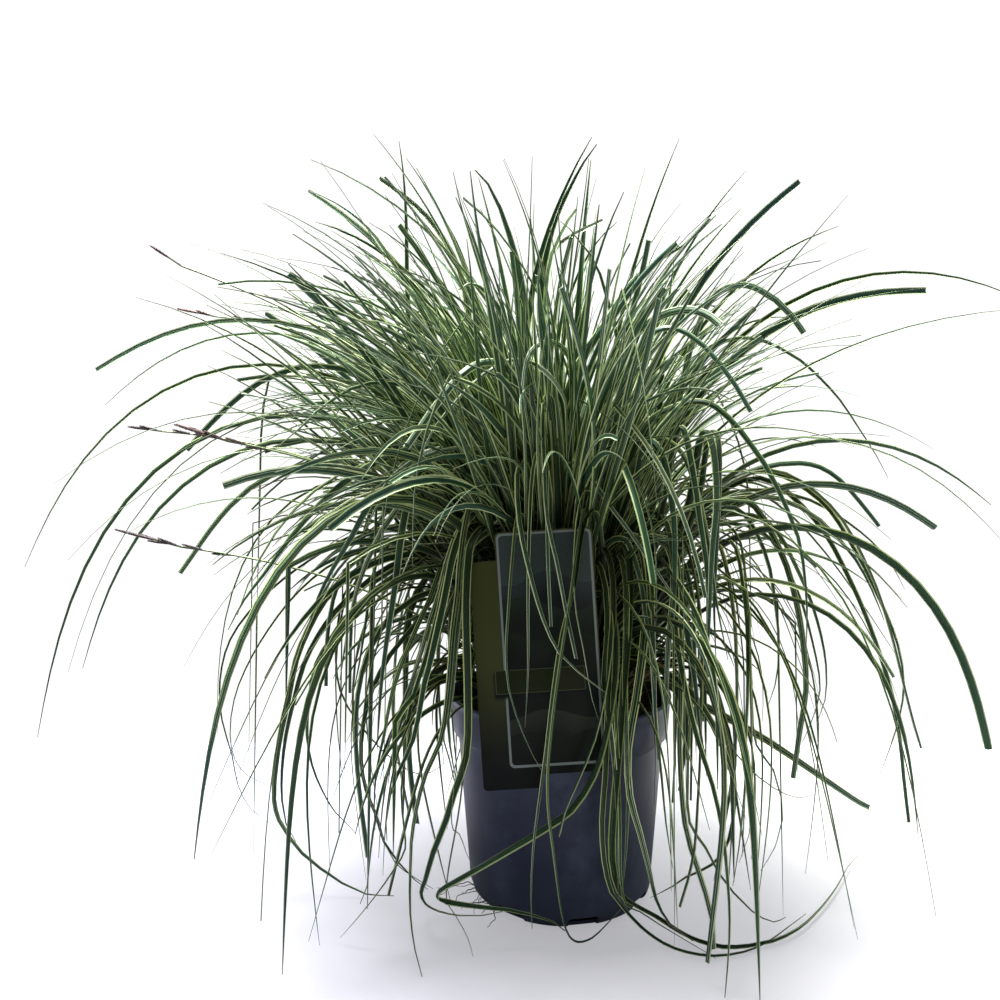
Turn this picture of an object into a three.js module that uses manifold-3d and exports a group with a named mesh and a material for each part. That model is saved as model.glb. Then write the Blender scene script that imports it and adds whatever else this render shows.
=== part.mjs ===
// A carex sedge in its nursery pot: a plastic pot filled with soil, a clump of arching grass-like leaves
// that grows from one round crown, a few flower heads on thin stems, and a plant label hooked over the rim.
// Millimetres, +Z up, origin at the centre of the pot's flat base. -Y is the side that carries the label.
import * as THREE from "three";
import { mergeVertices } from "three/addons/utils/BufferGeometryUtils.js";
import Module from "manifold-3d";

const wasm = await Module();
wasm.setup();

// ---- Driving dimensions ----

const GAP = 0.35; // clearance between pieces that touch

const POT = {
  height: 167,
  baseRadius: 77,
  bodyTopRadius: 88.5, // outside of the body just under the collar
  collarRadius: 92.3, // outside of the collar at its lower edge
  rimRadius: 95,
  collarHeight: 32,
  wall: 1.6,
  floor: 2.5,
  cornerRadius: 8,
  sides: 32,
};
const DRAIN = {
  holes: 6,
  holeRadius: 4.5,
  ringRadius: 46,
  notches: 8,
  notchWidth: 24,
  notchHeight: 9.5,
  notchDepth: 16,
  firstNotch: -80, // degrees
};
const SOIL = { surface: 150, dip: 1.5, holeRadius: 57.5, holeDepth: 12.4 };
const LABEL = {
  centreX: -23.5,
  centreZ: 216,
  front: -98.4, // Y of the printed face
  thickness: 1.2,
  lean: 3.6, // degrees, top towards -X
  panelWidth: 74,
  panelHeight: 184,
  bandWidth: 20, // the lower band that stands out beside the panel
  bandHeight: 173,
  corner: 3.5,
  strapWidth: 18,
  strapZ: 168,
  tongueY: -76,
  tongueBottom: 121,
};

// The clump is a fountain of arcs. An arc is named by its share of the crown's radius, 0 to 1, and its azimuth.
const CROWN = { radius: 56, rootDepth: 12, sheathInset: 0.34, sheathStep: 10.5 };
const ARC = {
  hang: 178, // the tilt from vertical, in degrees, that a very long leaf ends at
  power: 2.4,
  steps: 16,
  innerTilt: 1,
  outerTilt: 36, // added at the crown's edge
  frontTilt: -14, // added to outerTilt on the label's side
  tiltPower: 1.15,
  outerBend: 272, // length over which the outermost arcs bend down
  stiffness: 400, // how much longer the bend is towards the middle
  core: 0.12,
  frontBend: 0.54, // share of the bend length lost on the label's side
  frontFrom: 0.35, // share of the crown's radius where that loss is complete
};
// Leaves behind the label rise steeply and bend over its top.
const OVER_LABEL = {
  azimuth: -101,
  full: 24, // half-angle with the whole effect
  tiltNone: 112, // half-angle where the leaves' first tilt is free again
  bendNone: 46, // half-angle where their bend is free again
  innerTilt: 1,
  outerTilt: 4,
  outerBend: 425,
  stiffness: 150,
};
const RINGS = [
  { name: "leaves_centre", inner: 0.1, outer: 0.32, tufts: 5, leaves: 10, sheathTop: 40 },
  { name: "leaves_inner", inner: 0.32, outer: 0.56, tufts: 9, leaves: 8, sheathTop: 32 },
  { name: "leaves_middle", inner: 0.56, outer: 0.79, tufts: 12, leaves: 7, sheathTop: 24 },
  { name: "leaves_outer", inner: 0.79, outer: 1, tufts: 14, leaves: 6, sheathTop: 16 },
];
const LEAF = {
  seed: 11,
  segment: 102, // mean length of one straight stretch
  crowding: 1.12, // over 1, the stretches get shorter towards the tip, where the leaf bends
  rootBelow: 6, // how far under the soil's surface a leaf starts
  narrow: 3.6,
  wide: 6.4,
  keel: 0.3, // depth of the keel as a share of the width
  minKeel: 1.3,
  rootShare: 0.62, // width at the root as a share of the full width
  maxRoll: 36, // degrees
  cutShare: 0.34, // share of leaves that end in a trimmed, blunt tip
  shortest: 0.58,
  spread: 0.5,
  frontLoss: 0.3,
  tallest: 652,
  floorClear: 3,
  sideClear: 0.9,
  deepClear: 2.4, // from a leaf's middle to the next tuft's space, at the root
  bendClear: 1.8, // added where the leaf has left the crown
};
// Tips of single long leaves that stand out of the clump: place, width and whether the tip is trimmed.
const LONG_LEAVES = [
  { tip: [-467, 0, 273], width: 4.2 },
  { tip: [-422, -60, 145], width: 3.8 },
  { tip: [-440, 90, 420], width: 4 },
  { tip: [-405, 0, 445], width: 6.6, cut: true },
  { tip: [-396, -40, 195], width: 4.2 },
  { tip: [-227, 30, 611], width: 6.6, cut: true },
  { tip: [-162, 0, 650], width: 3.8 },
  { tip: [-128, 30, 632], width: 6.2 },
  { tip: [-72, 50, 630], width: 6.4 },
  { tip: [34, 60, 650], width: 7 },
  { tip: [109, 20, 655], width: 4 },
  { tip: [181, 60, 640], width: 4.2 },
  { tip: [210, 0, 610], width: 6.6, cut: true },
  { tip: [272, 70, 590], width: 4.6 },
  { tip: [323, 0, 514], width: 7.2, cut: true },
  { tip: [432, 30, 508], width: 4 },
  { tip: [352, -40, 334], width: 5 },
  { tip: [330, -75, 141], width: 7, cut: true },
  { tip: [312, -30, 310], width: 7, cut: true },
  { tip: [-176, -172, 110], width: 6 },
  { tip: [-204, -144, 8], width: 5 },
  { tip: [121, -171, 8], width: 6 },
  { tip: [278, -64, 60], width: 4.4 },
];
// Flower heads, by the place where the thin stem ends and the head begins, the head's length and its angle above
// the horizontal. Each points away from the crown.
const FLOWERS = [
  { foot: [-311, 30, 497], length: 37, rise: 12, laterals: 1 },
  { foot: [-306, -60, 522], length: 28, rise: 33, laterals: 0 },
  { foot: [-334, -30, 391], length: 28, rise: 8, laterals: 1 },
  { foot: [-252, -110, 381], length: 40, rise: 18, laterals: 3 },
  { foot: [-302, -70, 299], length: 52, rise: 17, laterals: 3 },
  { foot: [-250, 200, 470], length: 34, rise: 24, laterals: 2 },
];
const FLOWER = { stem: 1.7, sides: 5, radius: 1.9, lateralLength: 17, lateralRadius: 1.6, lateralTilt: 12 };

const COLOURS = {
  pot: 0x3a4050,
  soil: 0x33261d,
  label: 0x2c3426,
  leaves: 0x5f8050,
  outerLeaves: 0x6f9068,
  flowers: 0x5a3a2a,
};

// ---- Small helpers ----

const radians = (degrees) => (degrees * Math.PI) / 180;
const mix = (a, b, share) => a + (b - a) * share;
const clamp = (value, low, high) => Math.min(Math.max(value, low), high);
const smooth = (share) => share * share * (3 - 2 * share);
// The same direction as an angle from start to one full turn past it.
const turnedFrom = (angle, start) => angle + 2 * Math.PI * Math.ceil((start - angle) / (2 * Math.PI));

function seededRandom(seed) {
  let state = seed;
  return () => {
    state = (state + 0x6d2b79f5) | 0;
    let mixed = Math.imul(state ^ (state >>> 15), 1 | state);
    mixed = (mixed + Math.imul(mixed ^ (mixed >>> 7), 61 | mixed)) ^ mixed;
    return ((mixed ^ (mixed >>> 14)) >>> 0) / 4294967296;
  };
}

function solidFrom(vertices, triangles) {
  return new wasm.Manifold(
    new wasm.Mesh({
      numProp: 3,
      vertProperties: new Float32Array(vertices.flatMap((v) => [v.x, v.y, v.z])),
      triVerts: new Uint32Array(triangles.flat()),
    }),
  );
}

function solidOf(geometry) {
  const bare = geometry.clone();
  bare.deleteAttribute("normal");
  bare.deleteAttribute("uv");
  const merged = mergeVertices(bare, 1e-4);
  return new wasm.Manifold(
    new wasm.Mesh({
      numProp: 3,
      vertProperties: new Float32Array(merged.attributes.position.array),
      triVerts: new Uint32Array(merged.index.array),
    }),
  );
}

// The largest body of a union: a hollow that joining sealed is filled, and a loose scrap is dropped.
function mainBody(solid) {
  return solid.decompose().reduce((best, body) => (body.volume() > best.volume() ? body : best));
}

function geometryOf(solid) {
  const { vertProperties, triVerts, numProp } = solid.getMesh();
  const geometry = new THREE.BufferGeometry();
  const positions = new Float32Array((vertProperties.length / numProp) * 3);
  for (let i = 0; i * 3 < positions.length; i += 1) {
    positions.set(vertProperties.subarray(i * numProp, i * numProp + 3), i * 3);
  }
  geometry.setAttribute("position", new THREE.BufferAttribute(positions, 3));
  geometry.setIndex(new THREE.BufferAttribute(new Uint32Array(triVerts), 1));
  geometry.computeVertexNormals();
  return geometry;
}

function meshOf(name, solid, color, roughness) {
  const material = new THREE.MeshStandardMaterial({ color, roughness, metalness: 0 });
  const mesh = new THREE.Mesh(geometryOf(solid), material);
  mesh.name = name;
  return mesh;
}

// A closed solid of revolution about +Z from [radius, height] points that start and end on the axis.
function turned(profile, sides) {
  const points = profile.map(([radius, height]) => new THREE.Vector2(radius, height));
  return solidOf(new THREE.LatheGeometry(points, sides).rotateX(Math.PI / 2));
}

function box(width, depth, height, x, y, z) {
  return solidOf(new THREE.BoxGeometry(width, depth, height).translate(x, y, z));
}

// ---- Pot ----

// The outside radius of the pot's wall at a height, leaving out the rounded corner at the base.
function potOutside(z) {
  const collarFoot = POT.height - POT.collarHeight;
  if (z < collarFoot) return mix(POT.baseRadius, POT.bodyTopRadius, z / collarFoot);
  return mix(POT.collarRadius, POT.rimRadius, (z - collarFoot) / POT.collarHeight);
}

function potProfile() {
  const collarFoot = POT.height - POT.collarHeight;
  const corner = [30, 60].map((degrees) => [
    potOutside(POT.cornerRadius) - POT.cornerRadius * (1 - Math.sin(radians(degrees))),
    POT.cornerRadius * (1 - Math.cos(radians(degrees))),
  ]);
  return [
    [0, 0],
    [potOutside(0) - POT.cornerRadius, 0],
    ...corner,
    [potOutside(POT.cornerRadius), POT.cornerRadius],
    [POT.bodyTopRadius, collarFoot - 1.5],
    [POT.collarRadius, collarFoot],
    [POT.rimRadius + 0.6, POT.height - 1.2],
    [POT.rimRadius, POT.height],
    [POT.rimRadius - POT.wall, POT.height],
    [POT.collarRadius - POT.wall, collarFoot + 2],
    [POT.bodyTopRadius - POT.wall, collarFoot],
    [potOutside(POT.cornerRadius) - POT.wall, POT.cornerRadius],
    [potOutside(0) - POT.cornerRadius, POT.floor],
    [0, POT.floor],
  ];
}

function makePot() {
  let pot = turned(potProfile(), POT.sides);
  for (let i = 0; i < DRAIN.holes; i += 1) {
    const angle = (2 * Math.PI * (i + 0.5)) / DRAIN.holes;
    const drill = new THREE.CylinderGeometry(DRAIN.holeRadius, DRAIN.holeRadius, 4 * POT.floor, 8)
      .rotateX(Math.PI / 2)
      .translate(DRAIN.ringRadius * Math.cos(angle), DRAIN.ringRadius * Math.sin(angle), 0);
    pot = pot.subtract(solidOf(drill));
  }
  for (let i = 0; i < DRAIN.notches; i += 1) {
    const slot = new THREE.BoxGeometry(DRAIN.notchDepth, DRAIN.notchWidth, 2 * DRAIN.notchHeight)
      .translate(POT.baseRadius, 0, 0)
      .rotateZ(radians(DRAIN.firstNotch) + (2 * Math.PI * i) / DRAIN.notches);
    pot = pot.subtract(solidOf(slot));
  }
  return pot;
}

// ---- Soil, with one round hole for the crown and a slot for the label's tongue ----

function makeSoil() {
  const collarFoot = POT.height - POT.collarHeight;
  const inside = (z) => potOutside(z) - POT.wall - GAP;
  const soil = turned(
    [
      [0, POT.floor + GAP],
      [inside(0) - POT.cornerRadius, POT.floor + GAP],
      [inside(POT.cornerRadius), POT.cornerRadius + GAP],
      [POT.bodyTopRadius - POT.wall - GAP, collarFoot + GAP],
      [inside(collarFoot + 4), collarFoot + 4],
      [inside(SOIL.surface), SOIL.surface - SOIL.dip],
      [SOIL.holeRadius + 6, SOIL.surface],
      [SOIL.holeRadius, SOIL.surface],
      [SOIL.holeRadius, SOIL.surface - SOIL.holeDepth],
      [0, SOIL.surface - SOIL.holeDepth],
    ],
    POT.sides,
  );
  const slotHeight = SOIL.surface - LABEL.tongueBottom + 20;
  const slot = box(
    LABEL.strapWidth + 2 * GAP,
    LABEL.thickness + 2 * GAP,
    slotHeight,
    LABEL.centreX,
    LABEL.tongueY,
    LABEL.tongueBottom - GAP + slotHeight / 2,
  );
  return soil.subtract(slot);
}

// ---- Plant label: a printed plate, a strap over the rim and a tongue in the soil ----

// The plate's outline: a tall panel, and on its left a band that starts lower and ends lower.
function labelOutline() {
  const right = LABEL.panelWidth / 2 + LABEL.bandWidth / 2;
  const step = right - LABEL.panelWidth;
  const left = step - LABEL.bandWidth;
  const top = LABEL.panelHeight / 2 + 6;
  const bottom = top - LABEL.panelHeight;
  const bandTop = bottom - 10 + LABEL.bandHeight;
  const r = LABEL.corner;
  const shape = new THREE.Shape();
  shape.moveTo(right - r, bottom);
  shape.absarc(right - r, bottom + r, r, -Math.PI / 2, 0, false);
  shape.absarc(right - r, top - r, r, 0, Math.PI / 2, false);
  shape.absarc(step + r, top - r, r, Math.PI / 2, Math.PI, false);
  shape.lineTo(step, bandTop);
  shape.absarc(left + 2 * r, bandTop - 2 * r, 2 * r, Math.PI / 2, Math.PI, false);
  shape.absarc(left + r, bottom - 10 + r, r, Math.PI, 1.5 * Math.PI, false);
  shape.absarc(step + 24 - r, bottom - 10 + r, r, -Math.PI / 2, 0, false);
  shape.lineTo(step + 24, bottom);
  shape.closePath();
  return shape;
}

function makeLabel() {
  const plate = new THREE.ExtrudeGeometry(labelOutline(), {
    depth: LABEL.thickness,
    bevelEnabled: false,
    curveSegments: 3,
  })
    .rotateX(Math.PI / 2)
    .rotateY(radians(-LABEL.lean))
    .translate(LABEL.centreX, LABEL.front + LABEL.thickness, LABEL.centreZ);
  const strapLength = LABEL.tongueY - LABEL.front + LABEL.thickness / 2;
  const strap = box(
    LABEL.strapWidth,
    strapLength - 0.2,
    LABEL.thickness,
    LABEL.centreX,
    LABEL.front + 0.2 + (strapLength - 0.2) / 2,
    LABEL.strapZ + LABEL.thickness / 2,
  );
  const tongueHeight = LABEL.strapZ + LABEL.thickness / 2 - LABEL.tongueBottom;
  const tongue = box(
    LABEL.strapWidth,
    LABEL.thickness,
    tongueHeight,
    LABEL.centreX,
    LABEL.tongueY,
    LABEL.tongueBottom + tongueHeight / 2,
  );
  return solidOf(plate).add(strap).add(tongue);
}

// ---- The clump's arcs ----

// 1 towards the label's side, 0 away from it.
const frontShare = (azimuth) => 0.5 - 0.5 * Math.sin(azimuth);

function labelShare(azimuth, none) {
  const turn = azimuth - radians(OVER_LABEL.azimuth);
  const away = Math.abs(Math.atan2(Math.sin(turn), Math.cos(turn)));
  return smooth(clamp((radians(none) - away) / radians(none - OVER_LABEL.full), 0, 1));
}

function startTilt(u, azimuth) {
  const front = frontShare(azimuth) ** 2;
  const free = ARC.innerTilt + (ARC.outerTilt + ARC.frontTilt * front) * u ** ARC.tiltPower;
  const steep = mix(OVER_LABEL.innerTilt, OVER_LABEL.outerTilt, u);
  return radians(mix(free, steep, labelShare(azimuth, OVER_LABEL.tiltNone)));
}

function bendLength(u, azimuth) {
  const inwards = 1 / (u + ARC.core) - 1 / (1 + ARC.core);
  const loss = ARC.frontBend * frontShare(azimuth) ** 2 * smooth(clamp(u / ARC.frontFrom, 0, 1));
  const free = (ARC.outerBend + ARC.stiffness * inwards) * (1 - loss);
  const over = OVER_LABEL.outerBend + OVER_LABEL.stiffness * inwards;
  return mix(free, over, labelShare(azimuth, OVER_LABEL.bendNone));
}

// The radius, height and tilt of an arc at a length s from the soil's surface; it is straight below it.
function arcAt(u, azimuth, s) {
  const start = startTilt(u, azimuth);
  const bend = bendLength(u, azimuth);
  let radius = CROWN.radius * u;
  let height = SOIL.surface;
  if (s <= 0) {
    return { radius: radius + s * Math.sin(start), height: height + s * Math.cos(start), tilt: start };
  }
  const tiltAt = (length) =>
    mix(start, radians(ARC.hang), 1 - Math.exp(-((length / bend) ** ARC.power)));
  const step = s / ARC.steps;
  for (let i = 0; i < ARC.steps; i += 1) {
    const tilt = tiltAt((i + 0.5) * step);
    radius += Math.sin(tilt) * step;
    height += Math.cos(tilt) * step;
  }
  return { radius, height, tilt: tiltAt(s) };
}

function pointAt(u, azimuth, s) {
  const { radius, height } = arcAt(u, azimuth, s);
  return new THREE.Vector3(radius * Math.cos(azimuth), radius * Math.sin(azimuth), height);
}

// How far apart, across their own direction, arcs lie for one unit of u.
function arcSpread(u, azimuth, s) {
  const step = 0.01;
  const inner = arcAt(u - step, azimuth, s);
  const outer = arcAt(u + step, azimuth, s);
  const { tilt } = arcAt(u, azimuth, s);
  const across =
    (outer.radius - inner.radius) * Math.cos(tilt) - (outer.height - inner.height) * Math.sin(tilt);
  return across / (2 * step);
}

// The arc and length that lead nearest to a place: steps downhill, halved each time none helps.
function arcTo([x, y, z]) {
  const azimuth = Math.atan2(y, x);
  const radius = Math.hypot(x, y);
  const awayFrom = ({ u, s }) => {
    const there = arcAt(u, azimuth, s);
    return Math.hypot(there.radius - radius, there.height - z);
  };
  let best = { u: 0.5, s: 400 };
  for (let step = 1; step > 1e-4; ) {
    const around = [
      [0.1, 0],
      [-0.1, 0],
      [0, 40],
      [0, -40],
      [0.1, 40],
      [-0.1, -40],
      [-0.1, 40],
      [0.1, -40],
    ].map(([u, s]) => ({ u: clamp(best.u + step * u, RINGS[0].inner, 0.99), s: best.s + step * s }));
    const next = around.reduce((a, b) => (awayFrom(a) < awayFrom(b) ? a : b));
    if (awayFrom(next) < awayFrom(best)) best = next;
    else step /= 2;
  }
  return { ...best, azimuth };
}

// ---- Tufts ----

// Every tuft has a space of its own between two arcs' shares of the crown and two azimuths.
function makeCells() {
  return RINGS.flatMap((ring, row) =>
    Array.from({ length: ring.tufts }, (_, i) => {
      const width = (2 * Math.PI) / ring.tufts;
      const from = -Math.PI + width * (i + 0.5 * (row % 2));
      return { name: `${ring.name}_${i + 1}`, ring, from, to: from + width, strands: [], end: Infinity };
    }),
  );
}

function cellOf(cells, u, azimuth) {
  return cells.find(
    ({ ring, from, to }) => u >= ring.inner && u < ring.outer && turnedFrom(azimuth, from) < to,
  );
}

// The nearest arc to the one asked for that keeps a strand of a given half-width inside its tuft's space.
function confine(cell, u, azimuth, s, halfWidth) {
  const deep = LEAF.deepClear + LEAF.bendClear * clamp(s / 80, 0, 1);
  const acrossU = Math.min(deep / arcSpread(u, azimuth, s), (cell.ring.outer - cell.ring.inner) / 2);
  const { radius } = arcAt(u, azimuth, s);
  const acrossAzimuth = Math.min((halfWidth + LEAF.sideClear) / radius, (cell.to - cell.from) / 2);
  return {
    u: clamp(u, cell.ring.inner + acrossU, cell.ring.outer - acrossU),
    azimuth: clamp(azimuth, cell.from + acrossAzimuth, cell.to - acrossAzimuth),
  };
}

// Points along a strand that goes from one arc at the root to another at the tip.
function strandPath(cell, strand) {
  const points = [];
  const segments = Math.round(strand.length / LEAF.segment);
  for (let i = 0; i <= segments; i += 1) {
    const share = 1 - (1 - i / segments) ** LEAF.crowding;
    const s = mix(-LEAF.rootBelow, strand.length, share);
    const drift = smooth(share);
    const u = mix(strand.root.u, strand.tip.u, drift);
    const azimuth = mix(strand.root.azimuth, strand.tip.azimuth, drift);
    const kept = confine(cell, u, azimuth, s, strand.width / 2);
    const place = pointAt(kept.u, kept.azimuth, s);
    if (place.z < LEAF.floorClear) break;
    points.push({ share, place, azimuth: kept.azimuth });
  }
  return points;
}

function widthShare(strand, share) {
  if (strand.stem) return 1;
  const swell = mix(LEAF.rootShare, 1, smooth(clamp(share / 0.25, 0, 1)));
  const taper = clamp((share - 0.5) / 0.5, 0, 1) ** 1.6;
  return swell * (1 - taper * (strand.cut ? 0.25 : 0.9));
}

// A strand is a bent three-sided bar: a flat upper face and a keel under it.
function makeStrand(cell, strand) {
  const path = strandPath(cell, strand);
  const last = path.length - 1;
  const vertices = [];
  const triangles = [];
  path.forEach(({ share, place, azimuth }, i) => {
    const along = path[Math.min(i + 1, last)].place.clone().sub(path[Math.max(i - 1, 0)].place).normalize();
    const side = new THREE.Vector3(-Math.sin(azimuth), Math.cos(azimuth), 0);
    side.addScaledVector(along, -side.dot(along)).normalize();
    side.applyAxisAngle(along, strand.roll * smooth(share));
    const down = new THREE.Vector3().crossVectors(side, along);
    const width = strand.width * widthShare(strand, share);
    const keel = Math.max(LEAF.keel * width, strand.stem ? 0.85 * width : LEAF.minKeel);
    vertices.push(
      place.clone().addScaledVector(side, width / 2),
      place.clone().addScaledVector(side, -width / 2),
      place.clone().addScaledVector(down, keel),
    );
  });
  for (let i = 0; i < last; i += 1) {
    for (let k = 0; k < 3; k += 1) {
      const a = 3 * i + k;
      const b = 3 * i + ((k + 1) % 3);
      triangles.push([a, b, b + 3], [a, b + 3, a + 3]);
    }
  }
  triangles.push([0, 2, 1], [3 * last, 3 * last + 1, 3 * last + 2]);
  return solidFrom(vertices, triangles);
}

// The bundle of leaf bases that the tuft's leaves grow out of, from under the soil to a little above it.
function makeSheath(cell) {
  const { inner, outer, sheathTop } = cell.ring;
  const inset = CROWN.sheathInset / CROWN.radius;
  const cornersAt = (u, count) =>
    Array.from({ length: count + 1 }, (_, i) => {
      const edge = inset / u;
      return { u, azimuth: mix(cell.from + edge, cell.to - edge, i / count) };
    });
  const arcSteps = Math.ceil((cell.to - cell.from) / radians(CROWN.sheathStep));
  const innerSteps = inner < 0.2 ? 1 : arcSteps;
  const outline = [
    ...cornersAt(outer - inset, arcSteps),
    ...cornersAt(inner + inset, innerSteps).reverse(),
  ];
  const count = outline.length;
  const vertices = [-CROWN.rootDepth, sheathTop].flatMap((s) =>
    outline.map(({ u, azimuth }) => pointAt(u, azimuth, s)),
  );
  const flat = outline.map(
    ({ u, azimuth }) => new THREE.Vector2(u * Math.cos(azimuth), u * Math.sin(azimuth)),
  );
  const top = THREE.ShapeUtils.triangulateShape(flat, []);
  const triangles = top.flatMap(([a, b, c]) => [
    [a, c, b],
    [a + count, b + count, c + count],
  ]);
  // Both curved walls are split along the same diagonal, so that neighbouring sheaths stay parallel.
  for (let i = 0; i < count; i += 1) {
    const next = (i + 1) % count;
    if (i < arcSteps) triangles.push([i, next, next + count], [i, next + count, i + count]);
    else triangles.push([i, next, i + count], [next, next + count, i + count]);
  }
  return solidFrom(vertices, triangles);
}

// The leaves that the tuft draws at random, spread evenly over its space.
function drawLeaves(cell, random) {
  const { inner, outer, leaves } = cell.ring;
  for (let i = 0; i < leaves; i += 1) {
    const shareU = (0.5 + i * 0.7549) % 1;
    const shareAzimuth = (0.5 + i * 0.5698) % 1;
    const jitter = (share, size) => clamp(share + size * (random() - 0.5), 0, 1);
    const rootU = mix(inner, outer, jitter(shareU, 0.1));
    const rootAzimuth = mix(cell.from, cell.to, jitter(shareAzimuth, 0.1));
    const tipU = mix(inner, outer, jitter(shareU, 0.3));
    const tipAzimuth = mix(cell.from, cell.to, jitter(shareAzimuth, 0.4));
    const full = 416 + 713 * rootU - 689 * rootU ** 2;
    const front = 1 - LEAF.frontLoss * frontShare(rootAzimuth) ** 2;
    let length = Math.min(full * (LEAF.shortest + LEAF.spread * random()) * front, cell.end);
    while (arcAt(tipU, tipAzimuth, length).height > LEAF.tallest) length *= 0.97;
    const width = mix(LEAF.narrow, LEAF.wide, random());
    const roll = radians(LEAF.maxRoll) * (2 * random() - 1);
    const cut = random() < LEAF.cutShare;
    if (i < cell.strands.length) continue;
    cell.strands.push({
      root: { u: rootU, azimuth: rootAzimuth },
      tip: { u: tipU, azimuth: tipAzimuth },
      length,
      width,
      roll,
      cut,
    });
  }
}

function placeLongLeaves(cells) {
  for (const { tip, width, cut = false } of LONG_LEAVES) {
    const { u, azimuth, s } = arcTo(tip);
    const cell = cellOf(cells, u, azimuth);
    const arc = { u, azimuth: turnedFrom(azimuth, cell.from) };
    cell.strands.push({ root: arc, tip: arc, length: s, width, roll: radians(12), cut });
  }
}

// ---- Flower heads ----

// A spindle of overlapping scales along +Z: rings that swell and pinch in turn.
function makeSpindle(length, radius) {
  const scales = 3;
  const profile = [[0, 0]];
  for (let i = 0; i < scales; i += 1) {
    const middle = (i + 0.6) / scales;
    const body = radius * Math.sin(Math.PI * (0.14 + 0.78 * middle)) ** 0.8;
    profile.push([body, length * middle]);
    if (i < scales - 1) profile.push([0.72 * body, (length * (i + 1)) / scales]);
  }
  profile.push([0, length]);
  return turned(profile, FLOWER.sides);
}

function makeFlowerHead({ length, laterals }) {
  const stalkRadius = FLOWER.stem / 2;
  const stalk = new THREE.CylinderGeometry(stalkRadius * 0.8, stalkRadius, 0.7 * length, 5)
    .rotateX(Math.PI / 2)
    .translate(0, 0, 0.35 * length);
  const spike = 0.62 * length;
  let head = solidOf(stalk).add(makeSpindle(spike, FLOWER.radius).translate([0, 0, length - spike]));
  for (let i = 0; i < laterals; i += 1) {
    const turn = i % 2 === 0 ? 1 : -1;
    const lateral = makeSpindle(FLOWER.lateralLength, FLOWER.lateralRadius)
      .rotate([0, turn * FLOWER.lateralTilt, 35 * i])
      .translate([0, 0, 2 + (0.4 * length * i) / Math.max(laterals, 1)]);
    head = head.add(lateral);
  }
  return head;
}

// Turns a head made along +Z into its own direction.
function aimHead(head, foot, along) {
  const turn = new THREE.Quaternion().setFromUnitVectors(new THREE.Vector3(0, 0, 1), along);
  const place = new THREE.Matrix4().compose(foot, turn, new THREE.Vector3(1, 1, 1));
  return head.transform(place.elements);
}

function placeFlowers(cells) {
  return FLOWERS.map((flower, i) => {
    const { u, azimuth, s } = arcTo(flower.foot);
    const cell = cellOf(cells, u, azimuth);
    const arc = { u, azimuth: turnedFrom(azimuth, cell.from) };
    const stem = { root: arc, tip: arc, length: s, width: FLOWER.stem, roll: 0, cut: true, stem: true };
    cell.strands.push(stem);
    cell.end = Math.min(cell.end, s - 14);
    const [before, end] = strandPath(cell, stem).slice(-2).map((point) => point.place);
    const stemAhead = end.clone().sub(before).normalize();
    const rise = radians(flower.rise);
    const level = Math.cos(rise);
    const along = new THREE.Vector3(level * Math.cos(azimuth), level * Math.sin(azimuth), Math.sin(rise));
    // The foot's own edge, turned from the stem, stays clear of the stem's end.
    const edge = (FLOWER.stem / 2) * stemAhead.clone().cross(along).length();
    const foot = end.clone().addScaledVector(stemAhead, GAP + edge);
    return meshOf(`flower_head_${i + 1}`, aimHead(makeFlowerHead(flower), foot, along), COLOURS.flowers, 0.8);
  });
}

// ---- Assembly ----

const sedge = new THREE.Group();
sedge.add(meshOf("pot", makePot(), COLOURS.pot, 0.5));
sedge.add(meshOf("soil", makeSoil(), COLOURS.soil, 0.95));
sedge.add(meshOf("label", makeLabel(), COLOURS.label, 0.35));

const clump = new THREE.Group();
const cells = makeCells();
const flowerHeads = placeFlowers(cells);
placeLongLeaves(cells);
const random = seededRandom(LEAF.seed);
for (const cell of cells) {
  drawLeaves(cell, random);
  const strands = cell.strands.map((strand) => makeStrand(cell, strand));
  const tuft = mainBody(wasm.Manifold.union([makeSheath(cell), ...strands]));
  const colour = cell.ring.inner > 0.5 ? COLOURS.outerLeaves : COLOURS.leaves;
  clump.add(meshOf(cell.name, tuft, colour, 0.6));
}
clump.add(...flowerHeads);
sedge.add(clump);

export default sedge;
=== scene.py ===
"""The looks of a potted carex sedge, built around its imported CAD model.

Sizes are in millimetres, as in the model's source, and turn into metres when a mesh is made. The frame is the
model's: +Z up, the origin at the centre of the pot's base, -Y the side with the label.
"""

import math

import bpy
import numpy as np
from mathutils import Matrix, Vector, noise


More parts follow.
